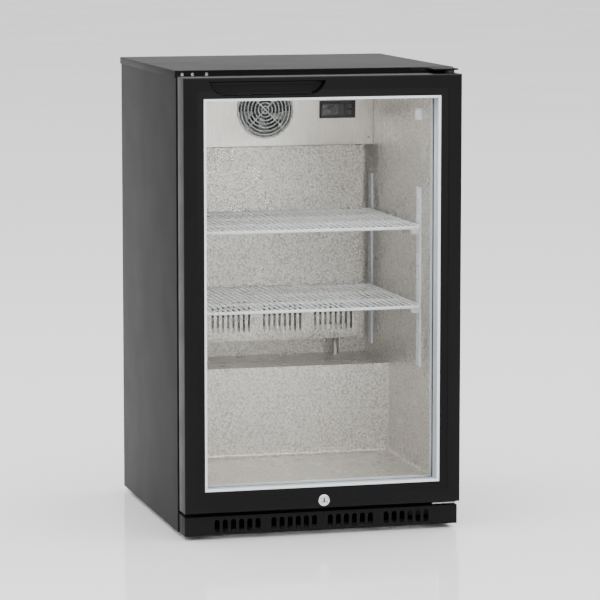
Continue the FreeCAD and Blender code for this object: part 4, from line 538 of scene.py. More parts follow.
def slot_hole(u, v, width, height, steps=6):
    """An upright slot with round ends; u, v is the middle of its lower end."""
    radius = width / 2
    low = [Vector((u - radius * math.cos(math.pi * step / steps),
                   v + radius - radius * math.sin(math.pi * step / steps)))
           for step in range(steps + 1)]
    high = [Vector((u + radius * math.cos(math.pi * step / steps),
                    v + height - radius + radius * math.sin(math.pi * step / steps)))
            for step in range(steps + 1)]
    return low + high


class Shape:
    """Points and faces gathered into one mesh."""

    def __init__(self):
        self.points = []
        self.faces = []

    def loft(self, loops, ring=False, caps=True):
        """Skins a row of closed loops of one length; ring joins the last to the first."""
        size, base = len(loops[0]), len(self.points)
        for loop in loops:
            self.points.extend(loop)
        for row in range(len(loops) if ring else len(loops) - 1):
            near, far = base + row * size, base + (row + 1) % len(loops) * size
            for step in range(size):
                following = (step + 1) % size
                self.faces.append((near + step, near + following, far + following, far + step))
        if caps and not ring:
            self.faces.append(tuple(range(base + size - 1, base - 1, -1)))
            last = base + (len(loops) - 1) * size
            self.faces.append(tuple(range(last, last + size)))
        return self

    def prism(self, outline, axis, low, high, ease=0.0):
        """Carries an outline along an axis; ease takes a small chamfer off both ends."""
        levels = [(low, 0.0), (high, 0.0)]
        if ease:
            levels = [(low, ease), (low + ease, 0.0), (high - ease, 0.0), (high, ease)]
        middle = sum(outline, Vector((0, 0))) / len(outline)
        loops = []
        for w, shrink in levels:
            loops.append([in_space(axis, *(point + (middle - point).normalized() * shrink), w)
                          for point in outline])
        return self.loft(loops)

    def lathe(self, profile, centre, axis, steps=48):
        """Turns a profile of (radius, height) about an axis through centre."""
        loops = []
        for step in range(steps):
            angle = 2 * math.pi * step / steps
            loops.append([Vector(centre) + in_space(axis, radius * math.cos(angle),
                                                    radius * math.sin(angle), height)
                          for radius, height in profile])
        return self.loft(loops, ring=True)

    def frame(self, profile, low, high, front):
        """Sweeps a section of (inwards, backwards) round a rectangle with mitred corners."""
        loops = []
        for side_x, side_z in ((0, 0), (1, 0), (1, 1), (0, 1)):
            loop = []
            for inwards, backwards in profile:
                x = high[0] - inwards if side_x else low[0] + inwards
                z = high[1] - inwards if side_z else low[1] + inwards
                loop.append(Vector((x, front + backwards, z)))
            loops.append(loop)
        return self.loft(loops, ring=True)

    def box(self, low, high, ease=0.0):
        """A block with eased edges."""
        if ease == 0.0:
            outline = [Vector((low[0], low[1])), Vector((high[0], low[1])),
                       Vector((high[0], high[1])), Vector((low[0], high[1]))]
            return self.prism(outline, "z", low[2], high[2])
        loops = []
        for z, shrink in ((low[2], ease), (low[2] + ease * 0.3, ease * 0.3), (low[2] + ease, 0.0),
                          (high[2] - ease, 0.0), (high[2] - ease * 0.3, ease * 0.3),
                          (high[2], ease)):
            left, right = low[0] + shrink, high[0] - shrink
            front, back = low[1] + shrink, high[1] - shrink
            corners = [(left, front, ease), (right, front, ease), (right, back, ease),
                       (left, back, ease)]
            loops.append([Vector((p.x, p.y, z)) for p in rounded(corners, 3)])
        return self.loft(loops)

    def mesh(self, name, angle=SHARP_ANGLE):
        """The gathered faces as a mesh, smooth but for its sharp edges."""
        mesh = bpy.data.meshes.new(name)
        mesh.from_pydata(self.points, [], self.faces)
        return smoothed(mesh, angle)


def smoothed(mesh, angle=SHARP_ANGLE):
    """Merges doubles, turns the faces outwards and smooths all but the sharp edges."""
    work = bmesh.new()
    work.from_mesh(mesh)
    bmesh.ops.remove_doubles(work, verts=work.verts, dist=TINY)
    bmesh.ops.recalc_face_normals(work, faces=work.faces)
    work.to_mesh(mesh)
    work.free()
    mesh.shade_smooth()
    mesh.set_sharp_from_angle(angle=math.radians(angle))
    return mesh


def eased_copy(node, width, shortest=0.0, segments=2):
    """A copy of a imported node, its seams merged and its folded edges rounded off."""
    mesh = frame["nodes"][node].data.copy()
    mesh.materials.clear()
    work = bmesh.new()
    work.from_mesh(mesh)
    bmesh.ops.remove_doubles(work, verts=work.verts, dist=TINY)
    bmesh.ops.dissolve_limit(work, angle_limit=math.radians(0.5), verts=work.verts,
                             edges=work.edges)
    folds = [edge for edge in work.edges if edge.is_manifold
             and edge.calc_face_angle() > math.radians(FOLD_ANGLE)
             and edge.calc_length() > shortest]
    bmesh.ops.bevel(work, geom=folds, offset=width, offset_type="OFFSET", segments=segments,
                    profile=0.5, affect="EDGES", clamp_overlap=True)
    for face in work.faces:
        face.smooth = True
    work.to_mesh(mesh)
    work.free()
    mesh.set_sharp_from_angle(angle=math.radians(SHARP_ANGLE))
    return mesh


def put(name, mesh, nodes, material, replaces=True, more=()):
    """Makes a piece of a mesh with the given finish, on the body of the node it stands for.

    more lists other finishes, each with a test of a face's centre that tells which faces take it.
    """
    piece = bpy.data.objects.new(name, mesh)
    bpy.context.scene.collection.objects.link(piece)
    mesh.materials.clear()
    mesh.materials.append(finish(material))
    for index, (other, wanted) in enumerate(more, 1):
        mesh.materials.append(finish(other))
        for face in mesh.polygons:
            if wanted(face.center):
                face.material_index = index
    nodes = [nodes] if isinstance(nodes, str) else list(nodes)
    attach(piece, BODY_OF[nodes[0]])
    if replaces:
        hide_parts(*nodes)
    return piece


def keep(nodes, material):
    """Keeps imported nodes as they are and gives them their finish."""
    for node in nodes:
        mesh = frame["nodes"][node].data
        mesh.materials.clear()
        mesh.materials.append(finish(material))


# ---------------------------------------------------------------- geometry node trees

def new_tree(name, inputs):
    """A geometry tree with named inputs of (name, socket type, default)."""
    tree = bpy.data.node_groups.new(name, "GeometryNodeTree")
    tree.interface.new_socket(name="Geometry", in_out="INPUT",
                              socket_type="NodeSocketGeometry")
    for label, kind, default in inputs:
        socket = tree.interface.new_socket(name=label, in_out="INPUT", socket_type=kind)
        if default is not None:
            socket.default_value = default
    tree.interface.new_socket(name="Geometry", in_out="OUTPUT",
                              socket_type="NodeSocketGeometry")
    return tree, add_node(tree, "NodeGroupInput")


def end_tree(tree, entry, node, output):
    """Ends a tree in real geometry with its material."""
    real = add_node(tree, "GeometryNodeRealizeInstances", links={"Geometry": (node, output)})
    coated = add_node(tree, "GeometryNodeSetMaterial",
                      links={"Geometry": (real, "Geometry"), "Material": (entry, "Material")})
    add_node(tree, "NodeGroupOutput", links={"Geometry": (coated, "Geometry")})
    return tree


def wire_row_tree():
    """Bends each polyline of a mesh into round wire, and repeats the lot in a row."""
    tree, entry = new_tree("wire_row", [
        ("Wire Radius", "NodeSocketFloat", 0.0015), ("Bend Radius", "NodeSocketFloat", 0.004),
        ("Sides", "NodeSocketInt", 12), ("Count", "NodeSocketInt", 1),
        ("Step", "NodeSocketVector", (0.0, 0.0, 0.0)), ("Material", "NodeSocketMaterial", None)])
    line = add_node(tree, "GeometryNodeMeshToCurve", links={"Mesh": (entry, "Geometry")})
    bend = add_node(tree, "GeometryNodeFilletCurve", {"mode": "POLY", "Count": 5},
                    {"Curve": (line, "Curve"), "Radius": (entry, "Bend Radius")})
    if "Limit Radius" in bend.inputs:
        bend.inputs["Limit Radius"].default_value = True
    ring = add_node(tree, "GeometryNodeCurvePrimitiveCircle",
                    links={"Resolution": (entry, "Sides"), "Radius": (entry, "Wire Radius")})
    wire = add_node(tree, "GeometryNodeCurveToMesh", {"Fill Caps": True},
                    {"Curve": (bend, "Curve"), "Profile Curve": (ring, "Curve")})
    row = add_node(tree, "GeometryNodeMeshLine",
                   links={"Count": (entry, "Count"), "Offset": (entry, "Step")})
    copies = add_node(tree, "GeometryNodeInstanceOnPoints",
                      links={"Points": (row, "Mesh"), "Instance": (wire, "Mesh")})
    return end_tree(tree, entry, copies, "Instances")


def part_grid_tree():
    """Repeats a small mesh in columns along X and rows along Z."""
    tree, entry = new_tree("part_grid", [
        ("Columns", "NodeSocketInt", 1), ("Rows", "NodeSocketInt", 1),
        ("Column Step", "NodeSocketVector", (0.01, 0.0, 0.0)),
        ("Row Step", "NodeSocketVector", (0.0, 0.0, 0.01)),
        ("Material", "NodeSocketMaterial", None)])
    rows = add_node(tree, "GeometryNodeMeshLine",
                    links={"Count": (entry, "Rows"), "Offset": (entry, "Row Step")})
    column = add_node(tree, "GeometryNodeInstanceOnPoints",
                      links={"Points": (rows, "Mesh"), "Instance": (entry, "Geometry")})
    columns = add_node(tree, "GeometryNodeMeshLine",
                       links={"Count": (entry, "Columns"), "Offset": (entry, "Column Step")})
    grid = add_node(tree, "GeometryNodeInstanceOnPoints",
                    links={"Points": (columns, "Mesh"), "Instance": (column, "Instances")})
    return end_tree(tree, entry, grid, "Instances")


def screw_tree():
    """Sets a pan-head cross-recess screw on each point of a mesh, each at its own turn."""
    tree, entry = new_tree("pan_head_screws", [
        ("Head Radius", "NodeSocketFloat", 0.0034), ("Head Height", "NodeSocketFloat", 0.0018),
        ("Shank Radius", "NodeSocketFloat", 0.002), ("Shank Length", "NodeSocketFloat", 0.006),
        ("Facing", "NodeSocketVector", (math.pi / 2, 0.0, 0.0)), ("Seed", "NodeSocketInt", 7),
        ("Material", "NodeSocketMaterial", None)])
    dome = add_node(tree, "GeometryNodeMeshUVSphere", {"Segments": 24, "Rings": 12, "Radius": 1.0})
    flat = add_node(tree, "ShaderNodeCombineXYZ", links={0: (entry, "Head Radius"),
                                                         1: (entry, "Head Radius"),
                                                         2: (entry, "Head Height")})
    head = add_node(tree, "GeometryNodeTransform",
                    links={"Geometry": (dome, "Mesh"), "Scale": (flat, "Vector")})
    wide = add_node(tree, "ShaderNodeMath", {"operation": "MULTIPLY", 1: 1.25},
                    {0: (entry, "Head Radius")})
    thin = add_node(tree, "ShaderNodeMath", {"operation": "MULTIPLY", 1: 0.24},
                    {0: (entry, "Head Radius")})
    deep = add_node(tree, "ShaderNodeMath", {"operation": "MULTIPLY", 1: 1.1},
                    {0: (entry, "Head Height")})
    lift = add_node(tree, "ShaderNodeCombineXYZ", links={2: (entry, "Head Height")})
    bars = []
    for first, second in ((wide, thin), (thin, wide)):
        size = add_node(tree, "ShaderNodeCombineXYZ",
                        links={0: (first, "Value"), 1: (second, "Value"), 2: (deep, "Value")})
        bar = add_node(tree, "GeometryNodeMeshCube", links={"Size": (size, "Vector")})
        bars.append(add_node(tree, "GeometryNodeTransform",
                             links={"Geometry": (bar, "Mesh"), "Translation": (lift, "Vector")}))
    recess = add_node(tree, "GeometryNodeMeshBoolean",
                      {"operation": "DIFFERENCE"}, {"Mesh 1": (head, "Geometry")})
    for bar in bars:
        tree.links.new(bar.outputs["Geometry"], recess.inputs["Mesh 2"])
    shank = add_node(tree, "GeometryNodeMeshCylinder", {"Vertices": 12},
                     {"Radius": (entry, "Shank Radius"), "Depth": (entry, "Shank Length")})
    half = add_node(tree, "ShaderNodeMath", {"operation": "MULTIPLY", 1: -0.5},
                    {0: (entry, "Shank Length")})
    down = add_node(tree, "ShaderNodeCombineXYZ", links={2: (half, "Value")})
    sunk = add_node(tree, "GeometryNodeTransform",
                    links={"Geometry": (shank, "Mesh"), "Translation": (down, "Vector")})
    screw = add_node(tree, "GeometryNodeJoinGeometry")
    for part in (recess, sunk):
        tree.links.new(part.outputs[0], screw.inputs["Geometry"])
    spin = add_node(tree, "FunctionNodeRandomValue", {"data_type": "FLOAT", 3: 2 * math.pi},
                    {"Seed": (entry, "Seed")})
    turn = add_node(tree, "ShaderNodeCombineXYZ", links={2: (spin, 1)})
    copies = add_node(tree, "GeometryNodeInstanceOnPoints",
                      links={"Points": (entry, "Geometry"), "Instance": (screw, "Geometry"),
                             "Rotation": (entry, "Facing")})
    turned = add_node(tree, "GeometryNodeRotateInstances", {"Local Space": True},
                      {"Instances": (copies, "Instances"), "Rotation": (turn, "Vector")})
    return end_tree(tree, entry, turned, "Instances")


def grow(name, tree_name, base, values, material):
    """Runs a tree on a base mesh and returns the result as a plain mesh."""
    tree = bpy.data.node_groups[tree_name]
    holder = bpy.data.objects.new(name, base)
    bpy.context.scene.collection.objects.link(holder)
    modifier = holder.modifiers.new(tree_name, "NODES")
    modifier.node_group = tree
    inputs = {item.name: item.identifier for item in tree.interface.items_tree
              if item.item_type == "SOCKET" and item.in_out == "INPUT"}
    for label, value in {**values, "Material": finish(material)}.items():
        modifier[inputs[label]] = value
    evaluated = holder.evaluated_get(bpy.context.evaluated_depsgraph_get())
    mesh = bpy.data.meshes.new_from_object(evaluated)
    bpy.data.objects.remove(holder)
    mesh.name = name
    if not mesh.polygons:
        raise RuntimeError(f"{name}: the tree {tree_name} gave no faces")
    return smoothed(mesh)


def polylines(lines):
    """A mesh of open or closed runs: each is (points, closed)."""
    points, edges = [], []
    for run, closed in lines:
        base = len(points)
        points.extend(run)
        edges.extend((base + step, base + step + 1) for step in range(len(run) - 1))
        if closed:
            edges.append((base + len(run) - 1, base))
    mesh = bpy.data.meshes.new("runs")
    mesh.from_pydata(points, edges, [])
    return mesh


def wires(name, lines, radius, material, bend=0.0, sides=12, count=1, step=(0, 0, 0)):
    """Round wire along runs of points, the lot repeated count times, step apart."""
    return grow(name, "wire_row", polylines(lines),
                {"Wire Radius": radius, "Bend Radius": bend, "Sides": sides, "Count": count,
                 "Step": step}, material)


def grid_of(name, mesh, columns, rows, column_step, row_step, material):
    """A mesh repeated in columns and rows."""
    return grow(name, "part_grid", mesh,
                {"Columns": columns, "Rows": rows, "Column Step": column_step,
                 "Row Step": row_step}, material)


def screws(name, points, facing, radius, height, length, material):
    """Pan-head screws at points, their heads turned to face one way."""
    return grow(name, "pan_head_screws", polylines([([point], False) for point in points]),
                {"Head Radius": radius, "Head Height": height, "Shank Radius": 0.58 * radius,
                 "Shank Length": length, "Facing": facing}, material)


def joined(name, meshes, material):
    """Several meshes as one."""
    work = bmesh.new()
    for mesh in meshes:
        work.from_mesh(mesh)
    result = bpy.data.meshes.new(name)
    work.to_mesh(result)
    work.free()
    result.materials.append(finish(material))
    result.shade_smooth()
    result.set_sharp_from_angle(angle=math.radians(SHARP_ANGLE))
    return result


# ---------------------------------------------------------------- operators

class Make(bpy.types.Operator):
    """Shared options of the operators that make pieces"""

    bl_options = {"REGISTER", "UNDO"}

    def sizes(self, context):
        return context.scene.cooler_sizes


class COOLER_OT_finishes(Make):
    """Make every finish and every node tree that the pieces use"""

    bl_idname = "cooler.finishes"
    bl_label = "Finishes"

    def execute(self, context):
        for make in FINISHES:
            make(context.scene.cooler_finishes)
        for tree in (wire_row_tree, part_grid_tree, screw_tree):
            tree()
        return {"FINISHED"}


class COOLER_OT_cabinet(Make):
    """Make the sheet shell: folded sides, worktop, back and base"""

    bl_idname = "cooler.cabinet"
    bl_label = "Cabinet shell"

    def execute(self, context):
        bend = self.sizes(context).sheet_bend
        skin = 1.0 * MM
        for side, node in ((-1, "left_side_panel"), (1, "right_side_panel")):
            low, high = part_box(node)
            outer = low.x if side < 0 else high.x
            front_lip = high.x - low.x
            rear_lip = 14 * MM
            section = [(outer, low.y, bend), (outer, high.y, bend),
                       (outer - side * rear_lip, high.y), (outer - side * rear_lip, high.y - skin),
                       (outer - side * skin, high.y - skin, bend - skin),
                       (outer - side * skin, low.y + skin, bend - skin),
                       (outer - side * front_lip, low.y + skin), (outer - side * front_lip, low.y)]
            panel = Shape().prism(rounded(section, 5), "z", low.z, high.z).mesh(node + "_sheet")
            put(f"{node}_folded", panel, node, "powder_coated_steel")
        put("worktop_pressed", eased_copy("worktop", 0.35 * MM, 2 * MM), "worktop",
            "powder_coated_steel")
        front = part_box("worktop")[0].y
        screws_low, screws_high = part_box("hinge_screws")
        screw_z = (screws_low.z + screws_high.z) / 2
        spare_holes = (-203 * MM, -229 * MM, -248 * MM)
        collars = []
        for x in spare_holes:
            ring = Shape().lathe([(2.1 * MM, 0.0), (2.1 * MM, -0.25 * MM), (2.6 * MM, -0.3 * MM),
                                  (2.9 * MM, 0.0)], (x, front, screw_z), "y", 20)
            collars.append(ring.mesh("collar"))
        put("spare_hole_rims", joined("spare_hole_rims", collars, "zinc_plated_steel"), "worktop",
            "zinc_plated_steel", replaces=False)
        put("back_sheet", eased_copy("back_panel", 0.3 * MM, 5 * MM), "back_panel",
            "galvanised_sheet")
        low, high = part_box("back_panel")
        edge = 20 * MM
        rows = [low.z + edge + (high.z - low.z - 2 * edge) * step / 4 for step in range(5)]
        points = [Vector((x, high.y + 0.05 * MM, z)) for z in rows
                  for x in (low.x + edge, high.x - edge)]
        points += [Vector((low.x + (high.x - low.x) * step / 4, high.y + 0.05 * MM, high.z - edge))
                   for step in (1, 2, 3)]
        facing = (-math.pi / 2, 0.0, 0.0)
        put("back_sheet_screws", screws("back_sheet_screws", points, facing, 3.2 * MM, 0.9 * MM,
                                        1.0 * MM, "zinc_plated_steel"),
            "back_panel", "zinc_plated_steel", replaces=False)
        # The base and the bulkhead are black as painted shade, so the kick grille's slots look dark.
        put("base_sheet", eased_copy("base_plate", 0.3 * MM, 5 * MM), "base_plate",
            "matt_black_sheet")
        put("bulkhead_sheet", eased_copy("machine_bulkhead", 0.3 * MM, 5 * MM),
            "machine_bulkhead", "matt_black_sheet")
        keep(["insulation"], "rigid_polyurethane_foam")
        return {"FINISHED"}


class COOLER_OT_liner(Make):
    """Finish the embossed liner and make the frame of its opening"""

    bl_idname = "cooler.liner"
    bl_label = "Liner"

    def execute(self, context):
        keep(["liner_back", "liner_ceiling", "liner_floor", "liner_sides", "liner_step"],
             "stucco_embossed_aluminium")
        put("throat_moulding", eased_copy("throat_frame", 1.2 * MM, 50 * MM, 3), "throat_frame",
            "extruded_throat_pvc")
        low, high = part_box("liner_floor")
        step_low, step_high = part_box("liner_step")
        coves = [Shape().prism(self.cove(side * high.x, high.z, side), "y", low.y,
                               high.y).mesh("cove") for side in (-1, 1)]
        coves.append(Shape().prism(self.cove(high.y, high.z, 1), "x", step_low.x,
                                   step_high.x).mesh("cove"))
        put("liner_coves", joined("liner_coves", coves, "stucco_embossed_aluminium"),
            "liner_floor", "stucco_embossed_aluminium", replaces=False)
        return {"FINISHED"}

    def cove(self, wall, floor, side):
        """Outline of the rounded corner where the floor meets a wall on its side."""
        radius, steps = 6 * MM, 6
        angles = [math.pi / 2 * step / steps for step in range(steps + 1)]
        return [Vector((wall, floor))] + [
            Vector((wall - side * radius * (1 - math.sin(angle)),
                    floor + radius * (1 - math.cos(angle)))) for angle in angles]


class COOLER_OT_door_frame(Make):
    """Make the moulded door frame with its finger scoop"""

    bl_idname = "cooler.door_frame"
    bl_label = "Door frame"

    def scoop(self, low, high, grow):
        """Outline of the finger scoop in X and Z."""
        reach, shrink = (high.x - low.x) / 2 + grow, 26 * MM
        middle, round_off = (low.x + high.x) / 2, 34 * MM
        top, base = high.z + grow, low.z - grow
        side = []
        half_chord = math.hypot(shrink, top - base) / 2
        rise = math.sqrt(round_off ** 2 - half_chord ** 2)
        lean = math.atan2(top - base, shrink)
        centre = Vector((reach - shrink / 2 - rise * math.sin(lean),
                         (top + base) / 2 + rise * math.cos(lean)))
        start = math.atan2(base - centre.y, reach - shrink - centre.x)
        end = math.atan2(top - centre.y, reach - centre.x)
        for step in range(9):
            angle = start + (end - start) * step / 8
            side.append(centre + round_off * Vector((math.cos(angle), math.sin(angle))))
        right = [Vector((middle + p.x, p.y)) for p in side]
        left = [Vector((middle - p.x, p.y)) for p in reversed(side)]
        return right + left

    def execute(self, context):
        sizes = self.sizes(context)
        low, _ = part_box("left_stile")
        _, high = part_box("right_stile")
        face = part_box("left_stile")[1].x - low.x
        depth = high.y - low.y
        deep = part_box("outer_glass")[0].x - low.x - 0.5 * MM
        glass_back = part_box("inner_glass")[1].y - low.y
        edge, soft = sizes.door_edge, 0.5 * MM
        section = rounded([
            (0, 0, edge), (sizes.band_width, 0, soft),
            (sizes.band_width + 0.2 * MM, sizes.band_step, 0.3 * MM),
            (face, sizes.bevel_drop, soft), (face, sizes.lip_depth), (deep, sizes.lip_depth),
            (deep, glass_back), (face, glass_back), (face, depth, soft), (0, depth, 1.2 * MM),
        ], 6)
        body = Shape().frame([tuple(p) for p in section], (low.x, low.z), (high.x, high.z), low.y)
        blank = bpy.data.objects.new("door_blank", body.mesh("door_blank"))
        cup_low, cup_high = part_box("handle_cup")
        outline = self.scoop(cup_low, cup_high, 0.0)
        tool_mesh = Shape().prism(outline, "y", low.y - 5 * MM, cup_high.y).mesh("scoop_tool")
        tool = bpy.data.objects.new("scoop_tool", tool_mesh)
        lock_low, lock_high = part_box("lock_body")
        lock_x, lock_z = (lock_low.x + lock_high.x) / 2, (lock_low.z + lock_high.z) / 2
        bore_mesh = Shape().prism(circle(lock_x, lock_z, 8.6 * MM), "y", low.y - 5 * MM,
                                  high.y + 5 * MM).mesh("lock_tool")
        bore = bpy.data.objects.new("lock_tool", bore_mesh)
        for item in (blank, tool, bore):
            context.scene.collection.objects.link(item)
        for cutter in (tool, bore):
            modifier = blank.modifiers.new(cutter.name, "BOOLEAN")
            modifier.operation = "DIFFERENCE"
            modifier.solver = "EXACT"
            modifier.object = cutter
        evaluated = blank.evaluated_get(context.evaluated_depsgraph_get())
        mesh = bpy.data.meshes.new_from_object(evaluated)
        for item in (blank, tool, bore):
            bpy.data.objects.remove(item)
        put("door_frame_moulding", smoothed(mesh, 30),
            ["left_stile", "right_stile", "top_rail", "bottom_rail"], "moulded_black_abs")
        self.cup(cup_low, cup_high, low.y)
        return {"FINISHED"}

    def cup(self, low, high, front):
        """The cup in the scoop: a rolled lip, sloping walls and a rounded floor."""
        wall = 1.6 * MM
        outside = [(0.0, high.y), (0.0, front + 0.6 * MM)]
        lip = [(0.0, front), (-0.5 * MM, front), (-1.1 * MM, front + 0.35 * MM),
               (-wall, front + 1.2 * MM)]
        bowl = [(-wall - 1.0 * MM, high.y - 4.5 * MM), (-wall - 2.2 * MM, high.y - 2.6 * MM),
                (-wall - 4.0 * MM, high.y - 2.0 * MM)]
        loops = [[in_space("y", p.x, p.y, y) for p in self.scoop(low, high, grow)]
                 for grow, y in outside + lip + bowl]
        cup = Shape().loft(loops).mesh("finger_scoop_cup", 28)
        put("finger_scoop_cup", cup, "handle_cup", "moulded_black_abs")


class COOLER_OT_glazing(Make):
    """Finish both panes and make the bead, the spacer bar and the gasket"""

    bl_idname = "cooler.glazing"
    bl_label = "Glazing"

    def execute(self, context):
        keep(["outer_glass", "inner_glass"], "float_glass")
        low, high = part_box("glass_bead")
        width, thick = 4.5 * MM, high.y - low.y
        section = rounded([(0, thick), (0, 0.3 * MM, 0.25 * MM), (1.9 * MM, 0, 0.4 * MM),
                           (2.2 * MM, 0.9 * MM), (2.7 * MM, 0.9 * MM),
                           (3.0 * MM, 0.3 * MM, 0.3 * MM), (width, 1.3 * MM, 0.3 * MM),
                           (width, thick)], 4)
        bead = Shape().frame([tuple(p) for p in section], (low.x, low.z), (high.x, high.z), low.y)
        put("glass_bead_moulding", bead.mesh("glass_bead_moulding"), "glass_bead",
            "extruded_white_pvc")
        low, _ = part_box("left_stile")
        _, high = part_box("right_stile")
        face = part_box("left_stile")[1].x - low.x
        trim_front, trim_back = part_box("inner_glass")[1].y - low.y, high.y - low.y - 0.2 * MM
        trim = Shape().frame([(face - 0.3 * MM, trim_front), (face + 0.5 * MM, trim_front),
                              (face + 0.7 * MM, trim_back - 0.4 * MM), (face + 0.3 * MM, trim_back),
                              (face - 0.3 * MM, trim_back)],
                             (low.x, low.z), (high.x, high.z), low.y)
        put("door_inner_trim", trim.mesh("door_inner_trim"), "left_stile", "extruded_throat_pvc",
            replaces=False)
        low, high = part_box("glass_spacer")
        width, depth = 7 * MM, high.y - low.y
        section = rounded([(0, 0.2 * MM), (width - 1.2 * MM, 0.2 * MM, 0.4 * MM),
                           (width, 1.4 * MM, 0.4 * MM), (width, depth - 1.4 * MM, 0.4 * MM),
                           (width - 1.2 * MM, depth - 0.2 * MM, 0.4 * MM),
                           (0, depth - 0.2 * MM)], 3)
        spacer = Shape().frame([tuple(p) for p in section], (low.x, low.z), (high.x, high.z), low.y)
        put("spacer_bar", spacer.mesh("spacer_bar"), "glass_spacer", "blasted_spacer_aluminium")
        low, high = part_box("door_gasket")
        width, depth = 13.5 * MM, high.y - low.y
        section = rounded([
            (4.2 * MM, 0), (9.2 * MM, 0), (9.2 * MM, 2.6 * MM, 0.8 * MM),
            (11.6 * MM, 3.8 * MM, 1.0 * MM), (10.2 * MM, 5.6 * MM, 0.8 * MM),
            (13.0 * MM, 7.8 * MM, 1.2 * MM), (12.6 * MM, depth, 1.2 * MM),
            (0.8 * MM, depth, 1.2 * MM), (0.4 * MM, 7.8 * MM, 1.2 * MM),
            (3.0 * MM, 5.6 * MM, 0.8 * MM), (1.6 * MM, 3.8 * MM, 1.0 * MM),
            (4.2 * MM, 2.6 * MM, 0.8 * MM)], 4)
        gasket = Shape().frame([tuple(p) for p in section], (low.x, low.z), (high.x, high.z), low.y)
        put("gasket_bellows", gasket.mesh("gasket_bellows"), "door_gasket", "soft_gasket_pvc")
        return {"FINISHED"}


class COOLER_OT_hinges(Make):
    """Make both hinge brackets, their screws and the bushes"""

    bl_idname = "cooler.hinges"
    bl_label = "Hinges"

    def execute(self, context):
        put("top_hinge_plate", eased_copy("top_hinge_bracket", 0.5 * MM, 1.5 * MM),
            "top_hinge_bracket", "powder_coated_steel")
        # The bottom hinge plate is black below its tab as painted shade, where it shows through the
        # kick grille's slots; the tab is zinc.
        tab_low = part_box("bottom_hinge_bracket")[0].z + 26 * MM
        put("bottom_hinge_plate", eased_copy("bottom_hinge_bracket", 0.5 * MM, 1.5 * MM),
            "bottom_hinge_bracket", "matt_black_sheet",
            more=[("zinc_plated_steel", lambda c: c.z > tab_low)])
        low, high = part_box("hinge_screws")
        radius = (high.z - low.z) / 2
        middle = (low.z + high.z) / 2
        plate_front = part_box("top_hinge_bracket")[1].y - 2 * MM
        right = high.x - radius
        points = [Vector((x, plate_front, middle))
                  for x in (low.x + radius, right - 19 * MM, right)]
        mesh = screws("hinge_screw_heads", points, (math.pi / 2, 0.0, 0.0), radius, 1.7 * MM,
                      7 * MM, "powder_coated_steel")
        put("hinge_screw_heads", mesh, "hinge_screws", "powder_coated_steel")
        low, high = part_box("hinge_bushes")
        x, y = (low.x + high.x) / 2, (low.y + high.y) / 2
        flange, sleeve, bore = (high.x - low.x) / 2, 6.9 * MM, 4.05 * MM
        bushes = Shape()
        bushes.lathe([(bore, 0), (flange - 0.4 * MM, 0), (flange, 0.4 * MM), (flange, 2.9 * MM),
                      (sleeve, 3.2 * MM), (sleeve, 17 * MM), (bore, 17 * MM)],
                     (x, y, low.z), "z", 40)
        bushes.lathe([(bore, 0), (flange - 0.4 * MM, 0), (flange, -0.4 * MM), (flange, -5.4 * MM),
                      (sleeve, -5.7 * MM), (sleeve, -19 * MM), (bore, -19 * MM)],
                     (x, y, high.z), "z", 40)
        put("hinge_bush_sleeves", bushes.mesh("hinge_bush_sleeves"), "hinge_bushes",
            "moulded_black_nylon")
        return {"FINISHED"}


class COOLER_OT_lock(Make):
    """Make the cam lock: rim, barrel, nut, plug with its keyway, and cam"""

    bl_idname = "cooler.lock"
    bl_label = "Door lock"

    def execute(self, context):
        low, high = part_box("lock_body")
        x, z, front = (low.x + high.x) / 2, (low.z + high.z) / 2, low.y
        rim, barrel, bore = (high.x - low.x) / 2, 8.4 * MM, 5.6 * MM
        nut_front = high.y - 3.45 * MM
        body = Shape().lathe([
            (bore, 1.6 * MM), (6.3 * MM, 1.4 * MM), (6.6 * MM, 0.3 * MM), (7.2 * MM, 0.0),
            (8.8 * MM, 0.0), (10.0 * MM, 0.5 * MM), (rim, 1.1 * MM), (rim, 1.5 * MM),
            (barrel, 1.5 * MM), (barrel, high.y - front), (bore, high.y - front)],
            (x, front, z), "y", 64)
        hexagon = [Vector((x + 10.1 * MM * math.cos(math.pi / 3 * step),
                           z + 10.1 * MM * math.sin(math.pi / 3 * step))) for step in range(6)]
        body.prism(hexagon, "y", nut_front, high.y - 0.1 * MM, 0.5 * MM)
        put("lock_barrel", body.mesh("lock_barrel"), "lock_body", "chromed_zinc")

        low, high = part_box("lock_plug")
        plug = Shape()
        plug.lathe([(0.0, 0.9 * MM), (4.6 * MM, 0.9 * MM), (5.2 * MM, 0.6 * MM),
                    (5.5 * MM, 1.1 * MM), (5.5 * MM, high.y - low.y), (0.0, high.y - low.y)],
                   (x, low.y, z), "y", 48)
        cam_y = high.y - 2 * MM
        cam = rounded([(low.x, z - 5.5 * MM, 5.4 * MM), (high.x, z - 5.5 * MM, 4.0 * MM),
                       (high.x, z + 5.5 * MM, 4.0 * MM), (low.x, z + 5.5 * MM, 5.4 * MM)], 8)
        plug.prism(cam, "y", cam_y, high.y, 0.3 * MM)
        put("lock_plug_and_cam", plug.mesh("lock_plug_and_cam"), "lock_plug", "chromed_zinc")
        keyway = [(1.2, -4.2), (1.4, 1.4), (3.0, 3.8)]
        keyway = rounded([(x + side * u * MM, z + v * MM, 0.4 * MM)
                          for side, row in ((1, keyway), (-1, keyway[::-1])) for u, v in row], 3)
        # A thin black plate on the plug face in the keyway's shape: painted shade standing for the
        # dark hole.
        slot = Shape().prism(keyway, "y", low.y + 0.75 * MM, low.y + 1.0 * MM).mesh("lock_keyway")
        put("lock_keyway", slot, "lock_plug", "matt_black_sheet", replaces=False)
        return {"FINISHED"}


